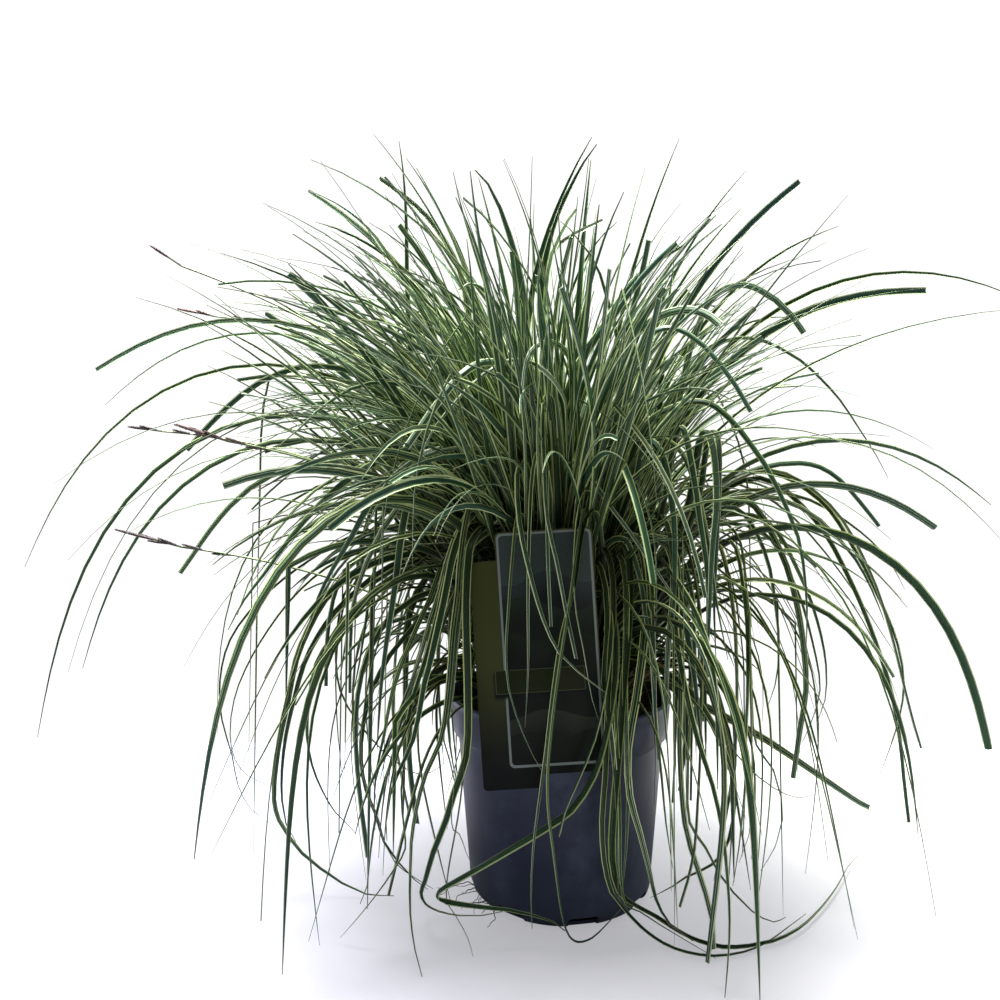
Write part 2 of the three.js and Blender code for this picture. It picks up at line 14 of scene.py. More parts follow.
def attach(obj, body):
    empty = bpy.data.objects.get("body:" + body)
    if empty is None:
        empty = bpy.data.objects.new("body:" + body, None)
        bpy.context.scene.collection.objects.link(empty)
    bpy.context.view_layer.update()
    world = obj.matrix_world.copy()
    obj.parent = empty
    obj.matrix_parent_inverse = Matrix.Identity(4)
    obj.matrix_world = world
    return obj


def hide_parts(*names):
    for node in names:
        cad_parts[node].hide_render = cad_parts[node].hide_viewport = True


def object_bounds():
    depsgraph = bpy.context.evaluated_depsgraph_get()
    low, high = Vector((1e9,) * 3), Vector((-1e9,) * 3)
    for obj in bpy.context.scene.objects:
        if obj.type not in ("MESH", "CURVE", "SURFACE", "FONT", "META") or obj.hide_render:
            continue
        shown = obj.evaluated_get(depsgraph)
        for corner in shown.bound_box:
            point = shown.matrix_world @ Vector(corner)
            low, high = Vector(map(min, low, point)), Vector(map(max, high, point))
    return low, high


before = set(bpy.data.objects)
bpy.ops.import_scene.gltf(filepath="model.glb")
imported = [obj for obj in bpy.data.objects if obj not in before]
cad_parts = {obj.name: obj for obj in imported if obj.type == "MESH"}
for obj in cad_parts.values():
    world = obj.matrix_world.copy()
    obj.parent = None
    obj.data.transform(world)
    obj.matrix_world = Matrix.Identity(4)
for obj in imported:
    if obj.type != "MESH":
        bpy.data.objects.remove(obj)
cad_low, cad_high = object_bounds()
MM = 0.001

# ---- Small helpers ----


def mix(a, b, share):
    return a + (b - a) * share


def clamp(value, low=0.0, high=1.0):
    return min(max(value, low), high)


def smooth(share):
    return share * share * (3 - 2 * share)


def turned_from(angle, start):
    """The same direction as an angle from start to one full turn past it."""
    return angle + 2 * math.pi * math.ceil((start - angle) / (2 * math.pi))


def seeded_random(seed):
    """The generator of the CAD source, so that both draw the same leaves."""
    state = seed

    def draw():
        nonlocal state
        state = (state + 0x6D2B79F5) & 0xFFFFFFFF
        mixed = (state ^ (state >> 15)) * (1 | state) & 0xFFFFFFFF
        mixed = (mixed + ((mixed ^ (mixed >> 7)) * (61 | mixed) & 0xFFFFFFFF)) & 0xFFFFFFFF ^ mixed
        return ((mixed ^ (mixed >> 14)) & 0xFFFFFFFF) / 4294967296

    return draw


def between(draw, low, high):
    return mix(low, high, draw())


# ---- Camera, light and floor ----

PICTURE = 1000  # pixels each way
FOCAL = 825  # the camera's focal length in pixels
HORIZON = 456  # pixel row of the camera's own height
CAMERA = (-52, -720, 370)
SENSOR = 36
WORLD = {"back": 0.6, "front": 0.01, "from": -0.48, "to": 0.4, "top": 0.46, "seen": 1.1}
KEY_LIGHT = {"place": (-0.3, 0.1, 1.9), "aim": (0, 0, 0.4), "size": 0.7, "power": 125}
FLOOR = {"left": -3, "right": 3, "front": -2.5, "back": 0.346}  # metres
# The floor's colour changes from left to right between two places, and has clouds of the left colour.
FLOOR_TONE = {"left": (0.22, 0.22, 0.3, 1), "right": (0.52, 0.52, 0.52, 1), "from": -0.5, "to": 0.3}
FLOOR_CLOUDS = {"scale": 2.2, "share": 0.3}
# How much the camera sees the floor lightened, at the front and at the back.
FLOOR_GLOW = {"front": 0.38, "back": 0.55, "from": -0.17, "to": 0.25}


def link(thing):
    bpy.context.scene.collection.objects.link(thing)
    return thing


def make_camera():
    data = bpy.data.cameras.new("camera")
    data.sensor_width = SENSOR
    data.lens = SENSOR * FOCAL / PICTURE
    data.shift_y = (HORIZON - PICTURE / 2) / PICTURE
    camera = link(bpy.data.objects.new("camera", data))
    camera.location = [MM * value for value in CAMERA]
    camera.rotation_euler = (math.pi / 2, 0, 0)
    bpy.context.scene.camera = camera


def make_world():
    """A white room: brighter behind the plant and above it than on the camera's side."""
    shader = Shader("white_room", {"Color": (1, 1, 1, 1)}, world=True)
    bpy.context.scene.world = shader.owner
    direction = shader.node("ShaderNodeTexCoord", {}).outputs["Generated"]
    parts = shader.node("ShaderNodeSeparateXYZ", {0: direction})
    ahead = shader.step(parts.outputs[1], WORLD["from"], WORLD["to"], WORLD["front"], WORLD["back"])
    lit = shader.math("MULTIPLY_ADD", parts.outputs[2], WORLD["top"], ahead)
    seen = shader.node("ShaderNodeLightPath", {}).outputs["Is Camera Ray"]
    strength = shader.node("ShaderNodeMix", {"Factor": seen, "A": lit, "B": WORLD["seen"]})
    shader.feed(shader.surface.inputs["Strength"], strength.outputs["Result"])


def make_key_light():
    data = bpy.data.lights.new("key", "AREA")
    data.shape = "DISK"
    data.size = KEY_LIGHT["size"]
    data.energy = KEY_LIGHT["power"]
    light = link(bpy.data.objects.new("key", data))
    light.location = KEY_LIGHT["place"]
    aim = Vector(KEY_LIGHT["aim"]) - light.location
    light.rotation_euler = aim.to_track_quat("-Z", "Y").to_euler()


def make_floor():
    left, right, front, back = (FLOOR[side] for side in ("left", "right", "front", "back"))
    corners = [(left, front, 0), (right, front, 0), (right, back, 0), (left, back, 0)]
    mesh = bpy.data.meshes.new("floor")
    mesh.from_pydata(corners, [], [(0, 1, 2, 3)])
    floor = link(bpy.data.objects.new("floor", mesh))
    shader = Shader("pale_floor", {"Roughness": 0.6, "Emission Color": (0.95, 0.95, 1, 1)})
    seen = shader.node("ShaderNodeLightPath", {}).outputs["Is Camera Ray"]
    parts = shader.node("ShaderNodeSeparateXYZ", {0: shader.place()})
    glow = shader.step(parts.outputs[1], *[FLOOR_GLOW[name] for name in ("from", "to", "front", "back")])
    shader.feed(shader.surface.inputs["Emission Strength"], shader.math("MULTIPLY", seen, glow))
    across = shader.step(parts.outputs[0], FLOOR_TONE["from"], FLOOR_TONE["to"])
    plain = shader.blend(across, FLOOR_TONE["left"], FLOOR_TONE["right"])
    cloud = shader.noise(shader.place(), FLOOR_CLOUDS["scale"], detail=3)
    clouds = shader.step(cloud, 0.4, 0.7, 0.0, FLOOR_CLOUDS["share"])
    shader.feed(shader.surface.inputs["Base Color"], shader.blend(clouds, plain, FLOOR_TONE["left"]))
    mesh.materials.append(shader.owner)


# ---- Shader and mesh builders ----


class Shader:
    """The nodes of one material, or of the world. Values are sockets, numbers or colours."""

    def __init__(self, name, fixed, world=False):
        self.owner = bpy.data.worlds.new(name) if world else bpy.data.materials.new(name)
        self.owner.use_nodes = True
        self.tree = self.owner.node_tree
        self.surface = self.tree.nodes["Background" if world else "Principled BSDF"]
        for socket, value in fixed.items():
            self.surface.inputs[socket].default_value = value

    def feed(self, socket, value):
        if isinstance(value, bpy.types.NodeSocket):
            self.tree.links.new(value, socket)
        else:
            socket.default_value = value

    def node(self, kind, inputs, **settings):
        made = self.tree.nodes.new(kind)
        for name, value in settings.items():
            setattr(made, name, value)
        for key, value in inputs.items():
            self.feed(made.inputs[key], value)
        return made

    def math(self, operation, a, b=0.0, c=0.0):
        return self.node("ShaderNodeMath", {0: a, 1: b, 2: c}, operation=operation).outputs[0]

    def step(self, value, low, high, start=0.0, end=1.0):
        """start below low, end above high, and a smooth step between them."""
        inputs = {"Value": value, "From Min": low, "From Max": high, "To Min": start, "To Max": end}
        return self.node("ShaderNodeMapRange", inputs, interpolation_type="SMOOTHSTEP").outputs[0]

    def blend(self, share, first, second):
        return self.node("ShaderNodeMix", {0: share, 6: first, 7: second}, data_type="RGBA").outputs[2]

    def combine(self, x, y, z=0.0):
        return self.node("ShaderNodeCombineXYZ", {0: x, 1: y, 2: z}).outputs[0]

    def noise(self, vector, scale, detail=2.0, roughness=0.5):
        inputs = {"Vector": vector, "Scale": scale, "Detail": detail, "Roughness": roughness}
        return self.node("ShaderNodeTexNoise", inputs).outputs[0]

    def value(self, name):
        return self.node("ShaderNodeAttribute", {}, attribute_name=name).outputs["Fac"]

    def chance(self, seed, turn):
        """A number from 0 to 1 that belongs to the seed, with another one for each turn."""
        spread = self.math("MULTIPLY_ADD", seed, 917.0, turn)
        return self.node("ShaderNodeTexWhiteNoise", {"W": spread}, noise_dimensions="1D").outputs["Value"]

    def uv(self):
        layer = self.node("ShaderNodeUVMap", {}, uv_map="UVMap")
        parts = self.node("ShaderNodeSeparateXYZ", {0: layer.outputs[0]})
        return parts.outputs[0], parts.outputs[1]

    def place(self):
        return self.node("ShaderNodeTexCoord", {}).outputs["Object"]

    def bump(self, height, strength, distance):
        inputs = {"Height": height, "Strength": strength, "Distance": distance}
        self.feed(self.surface.inputs["Normal"], self.node("ShaderNodeBump", inputs).outputs[0])


# What each point carries: its share of the length, half the width there, and values of its whole skin.
POINT_VALUES = ("share", "half", "chance", "dry", "blunt", "size")


class Skin:
    """Collects closed skins, each a row of equal rings with flat ends, and makes one mesh of them."""

    def __init__(self):
        self.points = []
        self.faces = []
        self.uvs = []
        self.slots = []
        self.values = {name: [] for name in POINT_VALUES}

    def wrap(self, rings, around=None, along=None, slot=0, share=None, half=None, **fixed):
        """Adds one skin.

        around has one value more than a ring has points, and along, share and half have one for each ring.
        """
        rings = np.asarray(rings, float)
        count, size = rings.shape[:2]
        around = np.linspace(0, 1, size + 1) if around is None else around
        along = np.linspace(0, 1, count) if along is None else along
        share = np.linspace(0, 1, count) if share is None else share
        half = np.zeros(count) if half is None else half
        first = len(self.points)
        self.points.extend(rings.reshape(-1, 3) * MM)
        for i in range(count - 1):
            for j in range(size):
                a = first + i * size + j
                b = first + i * size + (j + 1) % size
                self.faces.append((a, b, b + size, a + size))
                self.uvs += [around[j], along[i], around[j + 1], along[i]]
                self.uvs += [around[j + 1], along[i + 1], around[j], along[i + 1]]
        self.faces.append([first + j for j in reversed(range(size))])
        self.faces.append([first + (count - 1) * size + j for j in range(size)])
        self.uvs += [value for j in reversed(range(size)) for value in (around[j], along[0])]
        self.uvs += [value for j in range(size) for value in (around[j], along[-1])]
        self.slots += [slot] * ((count - 1) * size + 2)
        self.values["share"] += list(np.repeat(share, size))
        self.values["half"] += list(np.repeat(half, size))
        for name in POINT_VALUES[2:]:
            self.values[name] += [fixed.get(name, 0.0)] * (count * size)

    def make(self, name, materials, replaces=(), sharp=40):
        mesh = bpy.data.meshes.new(name)
        mesh.from_pydata(self.points, [], self.faces)
        mesh.uv_layers.new(name="UVMap").data.foreach_set("uv", self.uvs)
        mesh.polygons.foreach_set("material_index", self.slots)
        mesh.polygons.foreach_set("use_smooth", [True] * len(self.faces))
        for value, numbers in self.values.items():
            mesh.attributes.new(value, "FLOAT", "POINT").data.foreach_set("value", numbers)
        for material in materials:
            mesh.materials.append(material)
        mesh.set_sharp_from_angle(angle=math.radians(sharp))
        return place_piece(mesh, name, replaces)


def place_piece(mesh, name, replaces=()):
    piece = link(bpy.data.objects.new(name, mesh))
    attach(piece, "root")
    if replaces:
        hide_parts(*replaces)
    return piece


def ring_of(centre, across, up, radius, sides, squash=1.0):
    """Points round a centre, in the plane of two directions."""
    angles = [2 * math.pi * i / sides for i in range(sides)]
    return [centre + radius * (math.cos(a) * across + squash * math.sin(a) * up) for a in angles]


def directions(path):
    """The direction at each point of a path."""
    path = np.asarray(path, float)
    ahead = np.vstack([path[1:], path[-1:]])
    behind = np.vstack([path[:1], path[:-1]])
    along = ahead - behind
    return along / np.linalg.norm(along, axis=1, keepdims=True)


TUBE_ACROSS = (0.31, 0.87, 0.38)  # the sections of a tube start square to this direction


def add_tube(skin, path, radii, sides=6, **values):
    """A round tube along a path, for roots, stems and filaments."""
    along = directions(path)
    rings = []
    for place, ahead, radius in zip(path, along, radii):
        across = np.cross(TUBE_ACROSS, ahead)
        across /= np.linalg.norm(across)
        rings.append(ring_of(np.asarray(place), across, np.cross(ahead, across), radius, sides))
    skin.wrap(rings, **values)


# ---- The clump's arcs: the same rule and values as the CAD model's ----

SOIL_SURFACE = 150
CROWN = {"radius": 56, "root_depth": 12}
ARC = {
    "hang": 178,
    "power": 2.4,
    "steps": 16,
    "inner_tilt": 1,
    "outer_tilt": 36,
    "front_tilt": -14,
    "tilt_power": 1.15,
    "outer_bend": 272,
    "stiffness": 400,
    "core": 0.12,
    "front_bend": 0.54,
    "front_from": 0.35,
}
OVER_LABEL = {
    "azimuth": -101,
    "full": 24,
    "tilt_none": 112,
    "bend_none": 46,
    "inner_tilt": 1,
    "outer_tilt": 4,
    "outer_bend": 425,
    "stiffness": 150,
}
# The last two values are the scene's own: the free leaves of a tuft, and the shares of their length that the
# leaves of the CAD model are drawn at.
RINGS = [
    {"name": "centre", "inner": 0.1, "outer": 0.32, "tufts": 5, "leaves": 10, "sheath_top": 40,
     "extra": 82, "shown": (0.74, 1)},
    {"name": "inner", "inner": 0.32, "outer": 0.56, "tufts": 9, "leaves": 8, "sheath_top": 32,
     "extra": 36, "shown": (0.66, 1)},
    {"name": "middle", "inner": 0.56, "outer": 0.79, "tufts": 12, "leaves": 7, "sheath_top": 24,
     "extra": 8, "shown": (0.36, 0.88)},
    {"name": "outer", "inner": 0.79, "outer": 1, "tufts": 14, "leaves": 6, "sheath_top": 16,
     "extra": 1, "shown": (0.26, 0.74)},
]
LEAF = {
    "seed": 11,
    "segment": 102,
    "crowding": 1.12,
    "root_below": 6,
    "narrow": 3.6,
    "wide": 6.4,
    "root_share": 0.62,
    "max_roll": 36,
    "cut_share": 0.34,
    "shortest": 0.58,
    "spread": 0.5,
    "front_loss": 0.3,
    "tallest": 652,
    "floor_clear": 3,
    "side_clear": 0.9,
    "deep_clear": 2.4,
    "bend_clear": 1.8,
    "bend_from": 80,
    "trim": 0.97,
}
FULL_LENGTH = {"innermost": 416, "rise": 713, "fall": 689}
JITTER = {"root": 0.1, "tip": 0.3, "tip_turn": 0.4}
TAPER = {"swell_end": 0.25, "from": 0.45, "power": 2.1, "cut": 0.25, "pointed": 0.9}
LONG_LEAVES = [
    {"tip": (-467, 0, 273), "width": 4.2},
    {"tip": (-422, -60, 145), "width": 3.8},
    {"tip": (-440, 90, 420), "width": 4},
    {"tip": (-405, 0, 445), "width": 6.6, "cut": True},
    {"tip": (-396, -40, 195), "width": 4.2},
    {"tip": (-227, 30, 611), "width": 6.6, "cut": True},
    {"tip": (-162, 0, 650), "width": 3.8},
    {"tip": (-128, 30, 632), "width": 6.2},
    {"tip": (-72, 50, 630), "width": 6.4},
    {"tip": (34, 60, 650), "width": 7},
    {"tip": (109, 20, 655), "width": 4},
    {"tip": (181, 60, 640), "width": 4.2},
    {"tip": (210, 0, 610), "width": 6.6, "cut": True},
    {"tip": (272, 70, 590), "width": 4.6},
    {"tip": (323, 0, 514), "width": 7.2, "cut": True},
    {"tip": (432, 30, 508), "width": 4},
    {"tip": (352, -40, 334), "width": 5},
    {"tip": (330, -75, 141), "width": 7, "cut": True},
    {"tip": (312, -30, 310), "width": 7, "cut": True},
    {"tip": (-176, -172, 110), "width": 6},
    {"tip": (-204, -144, 8), "width": 5},
    {"tip": (121, -171, 8), "width": 6},
    {"tip": (278, -64, 60), "width": 4.4},
]
FLOWERS = [
    {"foot": (-311, 30, 497), "length": 37, "rise": 12, "laterals": 1, "tone": 1.0, "below": (34,)},
    {"foot": (-306, -60, 522), "length": 28, "rise": 33, "laterals": 0, "tone": 0.35, "below": ()},
    {"foot": (-334, -30, 391), "length": 28, "rise": 8, "laterals": 1, "tone": 0.0, "below": (25,)},
    {"foot": (-252, -110, 381), "length": 40, "rise": 18, "laterals": 3, "tone": 0.6, "below": (14, 30)},
    {"foot": (-302, -70, 299), "length": 52, "rise": 17, "laterals": 3, "tone": 0.1, "below": (17, 40)},
    {"foot": (-250, 200, 470), "length": 34, "rise": 24, "laterals": 2, "tone": 0.5, "below": (22,)},
]
LONG_ROLL = 12
STEM = {
    "width": 1.7,
    "gap": 0.35,
    "clear": 14,  # how far below its end the other leaves of its tuft stop
    "droop": 0.8,  # how much flatter than its head it ends
    "knee": 0.7,  # how far back its bend reaches, as a share of its span
    "points": 41,
}


def front_share(azimuth):
    """1 towards the label's side, 0 away from it."""
    return 0.5 - 0.5 * math.sin(azimuth)


def label_share(azimuth, none):
    turn = azimuth - math.radians(OVER_LABEL["azimuth"])
    away = abs(math.atan2(math.sin(turn), math.cos(turn)))
    return smooth(clamp((math.radians(none) - away) / math.radians(none - OVER_LABEL["full"])))


def start_tilt(u, azimuth):
    front = front_share(azimuth) ** 2
    free = ARC["inner_tilt"] + (ARC["outer_tilt"] + ARC["front_tilt"] * front) * u ** ARC["tilt_power"]
    steep = mix(OVER_LABEL["inner_tilt"], OVER_LABEL["outer_tilt"], u)
    return math.radians(mix(free, steep, label_share(azimuth, OVER_LABEL["tilt_none"])))


def bend_length(u, azimuth):
    inwards = 1 / (u + ARC["core"]) - 1 / (1 + ARC["core"])
    loss = ARC["front_bend"] * front_share(azimuth) ** 2 * smooth(clamp(u / ARC["front_from"]))
    free = (ARC["outer_bend"] + ARC["stiffness"] * inwards) * (1 - loss)
    over = OVER_LABEL["outer_bend"] + OVER_LABEL["stiffness"] * inwards
    return mix(free, over, label_share(azimuth, OVER_LABEL["bend_none"]))


def arc_at(u, azimuth, s):
    """The radius, height and tilt of an arc at a length s from the soil's surface."""
    start = start_tilt(u, azimuth)
    bend = bend_length(u, azimuth)
    radius = CROWN["radius"] * u
    height = SOIL_SURFACE
    if s <= 0:
        return radius + s * math.sin(start), height + s * math.cos(start), start
    hang = math.radians(ARC["hang"])

    def tilt_at(length):
        return mix(start, hang, 1 - math.exp(-((length / bend) ** ARC["power"])))

    step = s / ARC["steps"]
    for i in range(ARC["steps"]):
        tilt = tilt_at((i + 0.5) * step)
        radius += math.sin(tilt) * step
        height += math.cos(tilt) * step
    return radius, height, tilt_at(s)


def point_at(u, azimuth, s):
    radius, height, _ = arc_at(u, azimuth, s)
    return (radius * math.cos(azimuth), radius * math.sin(azimuth), height)


def arc_spread(u, azimuth, s):
    """How far apart, across their own direction, arcs lie for one unit of u."""
    step = 0.01
    inner = arc_at(u - step, azimuth, s)
    outer = arc_at(u + step, azimuth, s)
    tilt = arc_at(u, azimuth, s)[2]
    return ((outer[0] - inner[0]) * math.cos(tilt) - (outer[1] - inner[1]) * math.sin(tilt)) / (2 * step)


OUTERMOST = 0.99  # share of the crown's radius where the outermost arc starts
FINEST_STEP = 1e-4


def arc_to(place):
    """The arc and length that lead nearest to a place: steps downhill, halved each time none helps."""
    azimuth = math.atan2(place[1], place[0])
    radius = math.hypot(place[0], place[1])

    def away_from(arc):
        there = arc_at(arc[0], azimuth, arc[1])
        return math.hypot(there[0] - radius, there[1] - place[2])

    tries = [(0.1, 0), (-0.1, 0), (0, 40), (0, -40), (0.1, 40), (-0.1, -40), (-0.1, 40), (0.1, -40)]
    best = (0.5, 400)
    step = 1.0
    while step > FINEST_STEP:
        around = []
        for u, s in tries:
            around.append((clamp(best[0] + step * u, RINGS[0]["inner"], OUTERMOST), best[1] + step * s))
        nearest = min(around, key=away_from)
        if away_from(nearest) < away_from(best):
            best = nearest
        else:
            step /= 2
    return best[0], azimuth, best[1]


# ---- Tufts: their spaces, and the leaves and stems of the CAD model in them ----


def make_cells():
    cells = []
    for row, ring in enumerate(RINGS):
        width = 2 * math.pi / ring["tufts"]
        for i in range(ring["tufts"]):
            start = -math.pi + width * (i + 0.5 * (row % 2))
            name = f"{ring['name']}_{i + 1}"
            cell = {"name": name, "ring": ring, "from": start, "to": start + width}
            cells.append(dict(cell, strands=[], end=math.inf))
    return cells


def cell_of(cells, u, azimuth):
    for cell in cells:
        in_ring = cell["ring"]["inner"] <= u < cell["ring"]["outer"]
        if in_ring and turned_from(azimuth, cell["from"]) < cell["to"]:
            return cell
    return None


def confine(cell, u, azimuth, s, half_width):
    """The nearest arc to the one asked for that keeps a strand inside its tuft's space."""
    ring = cell["ring"]
    deep = LEAF["deep_clear"] + LEAF["bend_clear"] * clamp(s / LEAF["bend_from"])
    across_u = min(deep / arc_spread(u, azimuth, s), (ring["outer"] - ring["inner"]) / 2)
    radius = arc_at(u, azimuth, s)[0]
    across_azimuth = min((half_width + LEAF["side_clear"]) / radius, (cell["to"] - cell["from"]) / 2)
    return (
        clamp(u, ring["inner"] + across_u, ring["outer"] - across_u),
        clamp(azimuth, cell["from"] + across_azimuth, cell["to"] - across_azimuth),
    )


def strand_path(cell, strand, segments):
    """Shares of the length, places and azimuths along a strand that goes from one arc to another."""
    shares = []
    places = []
    azimuths = []
    for i in range(segments + 1):
        share = 1 - (1 - i / segments) ** LEAF["crowding"]
        s = mix(-LEAF["root_below"], strand["length"], share)
        drift = smooth(share)
        u = mix(strand["root"][0], strand["tip"][0], drift)
        azimuth = mix(strand["root"][1], strand["tip"][1], drift)
        u, azimuth = confine(cell, u, azimuth, s, strand["width"] / 2)
        place = point_at(u, azimuth, s)
        if place[2] < LEAF["floor_clear"]:
            break
        shares.append(share)
        places.append(place)
        azimuths.append(azimuth)
    return shares, places, azimuths


def stem_curve(root, foot, along):
    """A stiff stem that leaves the crown steeply and leans out to the foot of its head."""
    level = Vector((along.x, along.y, 0)).normalized()
    knee = foot - (along + level * STEM["droop"]).normalized() * STEM["knee"] * (foot - root).length
    return [root.lerp(knee, t).lerp(knee.lerp(foot, t), t) for t in np.linspace(0, 1, STEM["points"])]


def place_flower_stems(cells):
    for flower in FLOWERS:
        u, azimuth, s = arc_to(flower["foot"])
        cell = cell_of(cells, u, azimuth)
        arc = (u, turned_from(azimuth, cell["from"]))
        stem = {"root": arc, "tip": arc, "length": s, "width": STEM["width"]}
        cell["strands"].append(stem)
        cell["end"] = min(cell["end"], s - STEM["clear"])
        before, end = [Vector(place) for place in strand_path(cell, stem, round(s / LEAF["segment"]))[1][-2:]]
        ahead = (end - before).normalized()
        rise = math.radians(flower["rise"])
        level = math.cos(rise)
        along = Vector((level * math.cos(azimuth), level * math.sin(azimuth), math.sin(rise)))
        edge = STEM["width"] / 2 * ahead.cross(along).length
        flower["along"] = along
        flower["place"] = end + ahead * (STEM["gap"] + edge)
        flower["stem"] = stem_curve(Vector(point_at(u, azimuth, -LEAF["root_below"])), flower["place"], along)
        stem["curve"] = flower["stem"]


def place_long_leaves(cells):
    for leaf in LONG_LEAVES:
        u, azimuth, s = arc_to(leaf["tip"])
        cell = cell_of(cells, u, azimuth)
        arc = (u, turned_from(azimuth, cell["from"]))
        strand = {"root": arc, "tip": arc, "length": s, "width": leaf["width"], "cut": leaf.get("cut", False)}
        cell["strands"].append(dict(strand, roll=math.radians(LONG_ROLL), long=True))


def even_shares(i):
    """Two shares that spread evenly over a cell as i counts up."""
    return (0.5 + i * 0.7549) % 1, (0.5 + i * 0.5698) % 1


def draw_leaves(cell, draw):
    """The leaves that the CAD tuft draws, in the same order of draws."""
    ring = cell["ring"]

    def jitter(share, size):
        return clamp(share + size * (draw() - 0.5))

    for i in range(ring["leaves"]):
        share_u, share_azimuth = even_shares(i)
        root_u = mix(ring["inner"], ring["outer"], jitter(share_u, JITTER["root"]))
        root_azimuth = mix(cell["from"], cell["to"], jitter(share_azimuth, JITTER["root"]))
        tip_u = mix(ring["inner"], ring["outer"], jitter(share_u, JITTER["tip"]))
        tip_azimuth = mix(cell["from"], cell["to"], jitter(share_azimuth, JITTER["tip_turn"]))
        front = 1 - LEAF["front_loss"] * front_share(root_azimuth) ** 2
        length = full_length(root_u) * (LEAF["shortest"] + LEAF["spread"] * draw()) * front
        length = min(length, cell["end"])
        while arc_at(tip_u, tip_azimuth, length)[1] > LEAF["tallest"]:
            length *= LEAF["trim"]
        width = mix(LEAF["narrow"], LEAF["wide"], draw())
        roll = math.radians(LEAF["max_roll"]) * (2 * draw() - 1)
        cut = draw() < LEAF["cut_share"]
        if i >= len(cell["strands"]):
            strand = {"root": (root_u, root_azimuth), "tip": (tip_u, tip_azimuth), "length": length}
            cell["strands"].append(dict(strand, width=width, roll=roll, cut=cut))


def full_length(u):
    """The length of a full-grown leaf that starts at a share u of the crown's radius."""
    return FULL_LENGTH["innermost"] + FULL_LENGTH["rise"] * u - FULL_LENGTH["fall"] * u**2


def width_share(share, cut):
    """The width at a share of a leaf's length, as a share of its full width."""
    swell = mix(LEAF["root_share"], 1, smooth(clamp(share / TAPER["swell_end"])))
    taper = clamp((share - TAPER["from"]) / (1 - TAPER["from"])) ** TAPER["power"]
    return swell * (1 - taper * TAPER["cut" if cut else "pointed"])


# ---- Leaves as finer blades ----

FLOOR_REST = 2.2  # height of a blade that lies on the floor
BLADE = {
    "segments": 22,
    "groove": 0.24,  # depth of the folded blade as a share of its width
    "root_groove": 0.5,
    "unfolded": 0.12,  # share of the length where it has opened from its root's groove
    "turned": 0.5,  # share of the length where it has rolled as far as it does
    "roundness": 1.3,
    "edge": 0.3,  # thickness
    "midrib": 0.6,
    "thinnest": 0.35,  # share of that thickness at a width of 0
    "thick_over": 4,  # width over which the thickness grows by all of it
    "broadest": 8,
}
# Places across the upper and the under face, edge to edge. A narrow leaf needs fewer.
BROAD_SECTION = {"upper": (1, 0.66, 0.3, 0, -0.3, -0.66, -1), "under": (-0.6, 0, 0.6)}
NARROW_SECTION = {"upper": (1, 0, -1), "under": (0,)}
NARROW_UNDER = 2.7  # width below which a leaf counts as narrow


def level_side(azimuth):
    return np.array([-math.sin(azimuth), math.cos(azimuth), 0])


def carried_sides(places, azimuth):
    """The side direction at each point when a blade bends without twisting, from a level one at its root."""
    side = level_side(azimuth)
    sides = []
    for ahead in directions(places):
        side = side - ahead * side.dot(ahead)
        side /= np.linalg.norm(side)
        sides.append(side)
    return sides


def smoothed(places, passes):
    """A path without its small corners; both ends stay."""
    places = np.array(places)
    for _ in range(passes):
        places[1:-1] = (places[:-2] + 2 * places[1:-1] + places[2:]) / 4
    return places


def add_blade(skin, shares, places, sides, width, roll, cut, chance, dry=0.0):
    """A leaf with a folded section along a path.

    Across the blade, the values of the upper face go from 0 to 1 and those of the under face from 1 to 2.
    """
    section = NARROW_SECTION if width < NARROW_UNDER else BROAD_SECTION
    around = [(1 - x) / 2 for x in section["upper"]] + [1 + (1 + x) / 2 for x in section["under"]] + [2]
    places = np.asarray(places)
    lengths = np.concatenate([[0], np.cumsum(np.linalg.norm(np.diff(places, axis=0), axis=1))])
    rings = []
    halves = []
    for share, place, ahead, level in zip(shares, places, directions(places), sides):
        side = level - ahead * level.dot(ahead)
        side /= np.linalg.norm(side)
        turn = roll * smooth(clamp(share / BLADE["turned"]))
        side = side * math.cos(turn) + np.cross(ahead, side) * math.sin(turn)
        down = np.cross(side, ahead)
        wide = width * width_share(share, cut)
        opened = smooth(clamp(share / BLADE["unfolded"]))
        groove = wide * mix(BLADE["root_groove"], BLADE["groove"], opened)
        thick = min(1, BLADE["thinnest"] + wide / BLADE["thick_over"])
        upper = [(x, 0) for x in section["upper"]]
        under = [(x, thick * mix(BLADE["midrib"], BLADE["edge"], abs(x))) for x in section["under"]]
        ring = []
        for x, below in upper + under:
            deep = groove * (1 - abs(x) ** BLADE["roundness"]) + below
            ring.append(place + side * (x * wide / 2) + down * deep)
        rings.append(ring)
        halves.append(wide / 2)
    values = {"chance": chance, "dry": dry, "blunt": float(cut), "size": width / BLADE["broadest"]}
    skin.wrap(rings, around, lengths * MM, share=np.asarray(shares), half=halves, **values)


# ---- Free leaves: the ones that bend, sway and fold in their own way ----

# Ranges for each habit: the tilt in degrees at the root, the length over which the leaf bends, the tilt in
# degrees that it would end at, and the leaf's length.
HABITS = {
    "tall": {"lean": (1, 22), "bend": (360, 620), "hang": (100, 172), "length": (370, 620)},
    "arching": {"lean": (3, 26), "bend": (190, 370), "hang": (145, 190), "length": (340, 660)},
    "falling": {"lean": (10, 38), "bend": (90, 200), "hang": (150, 196), "length": (180, 400)},
}
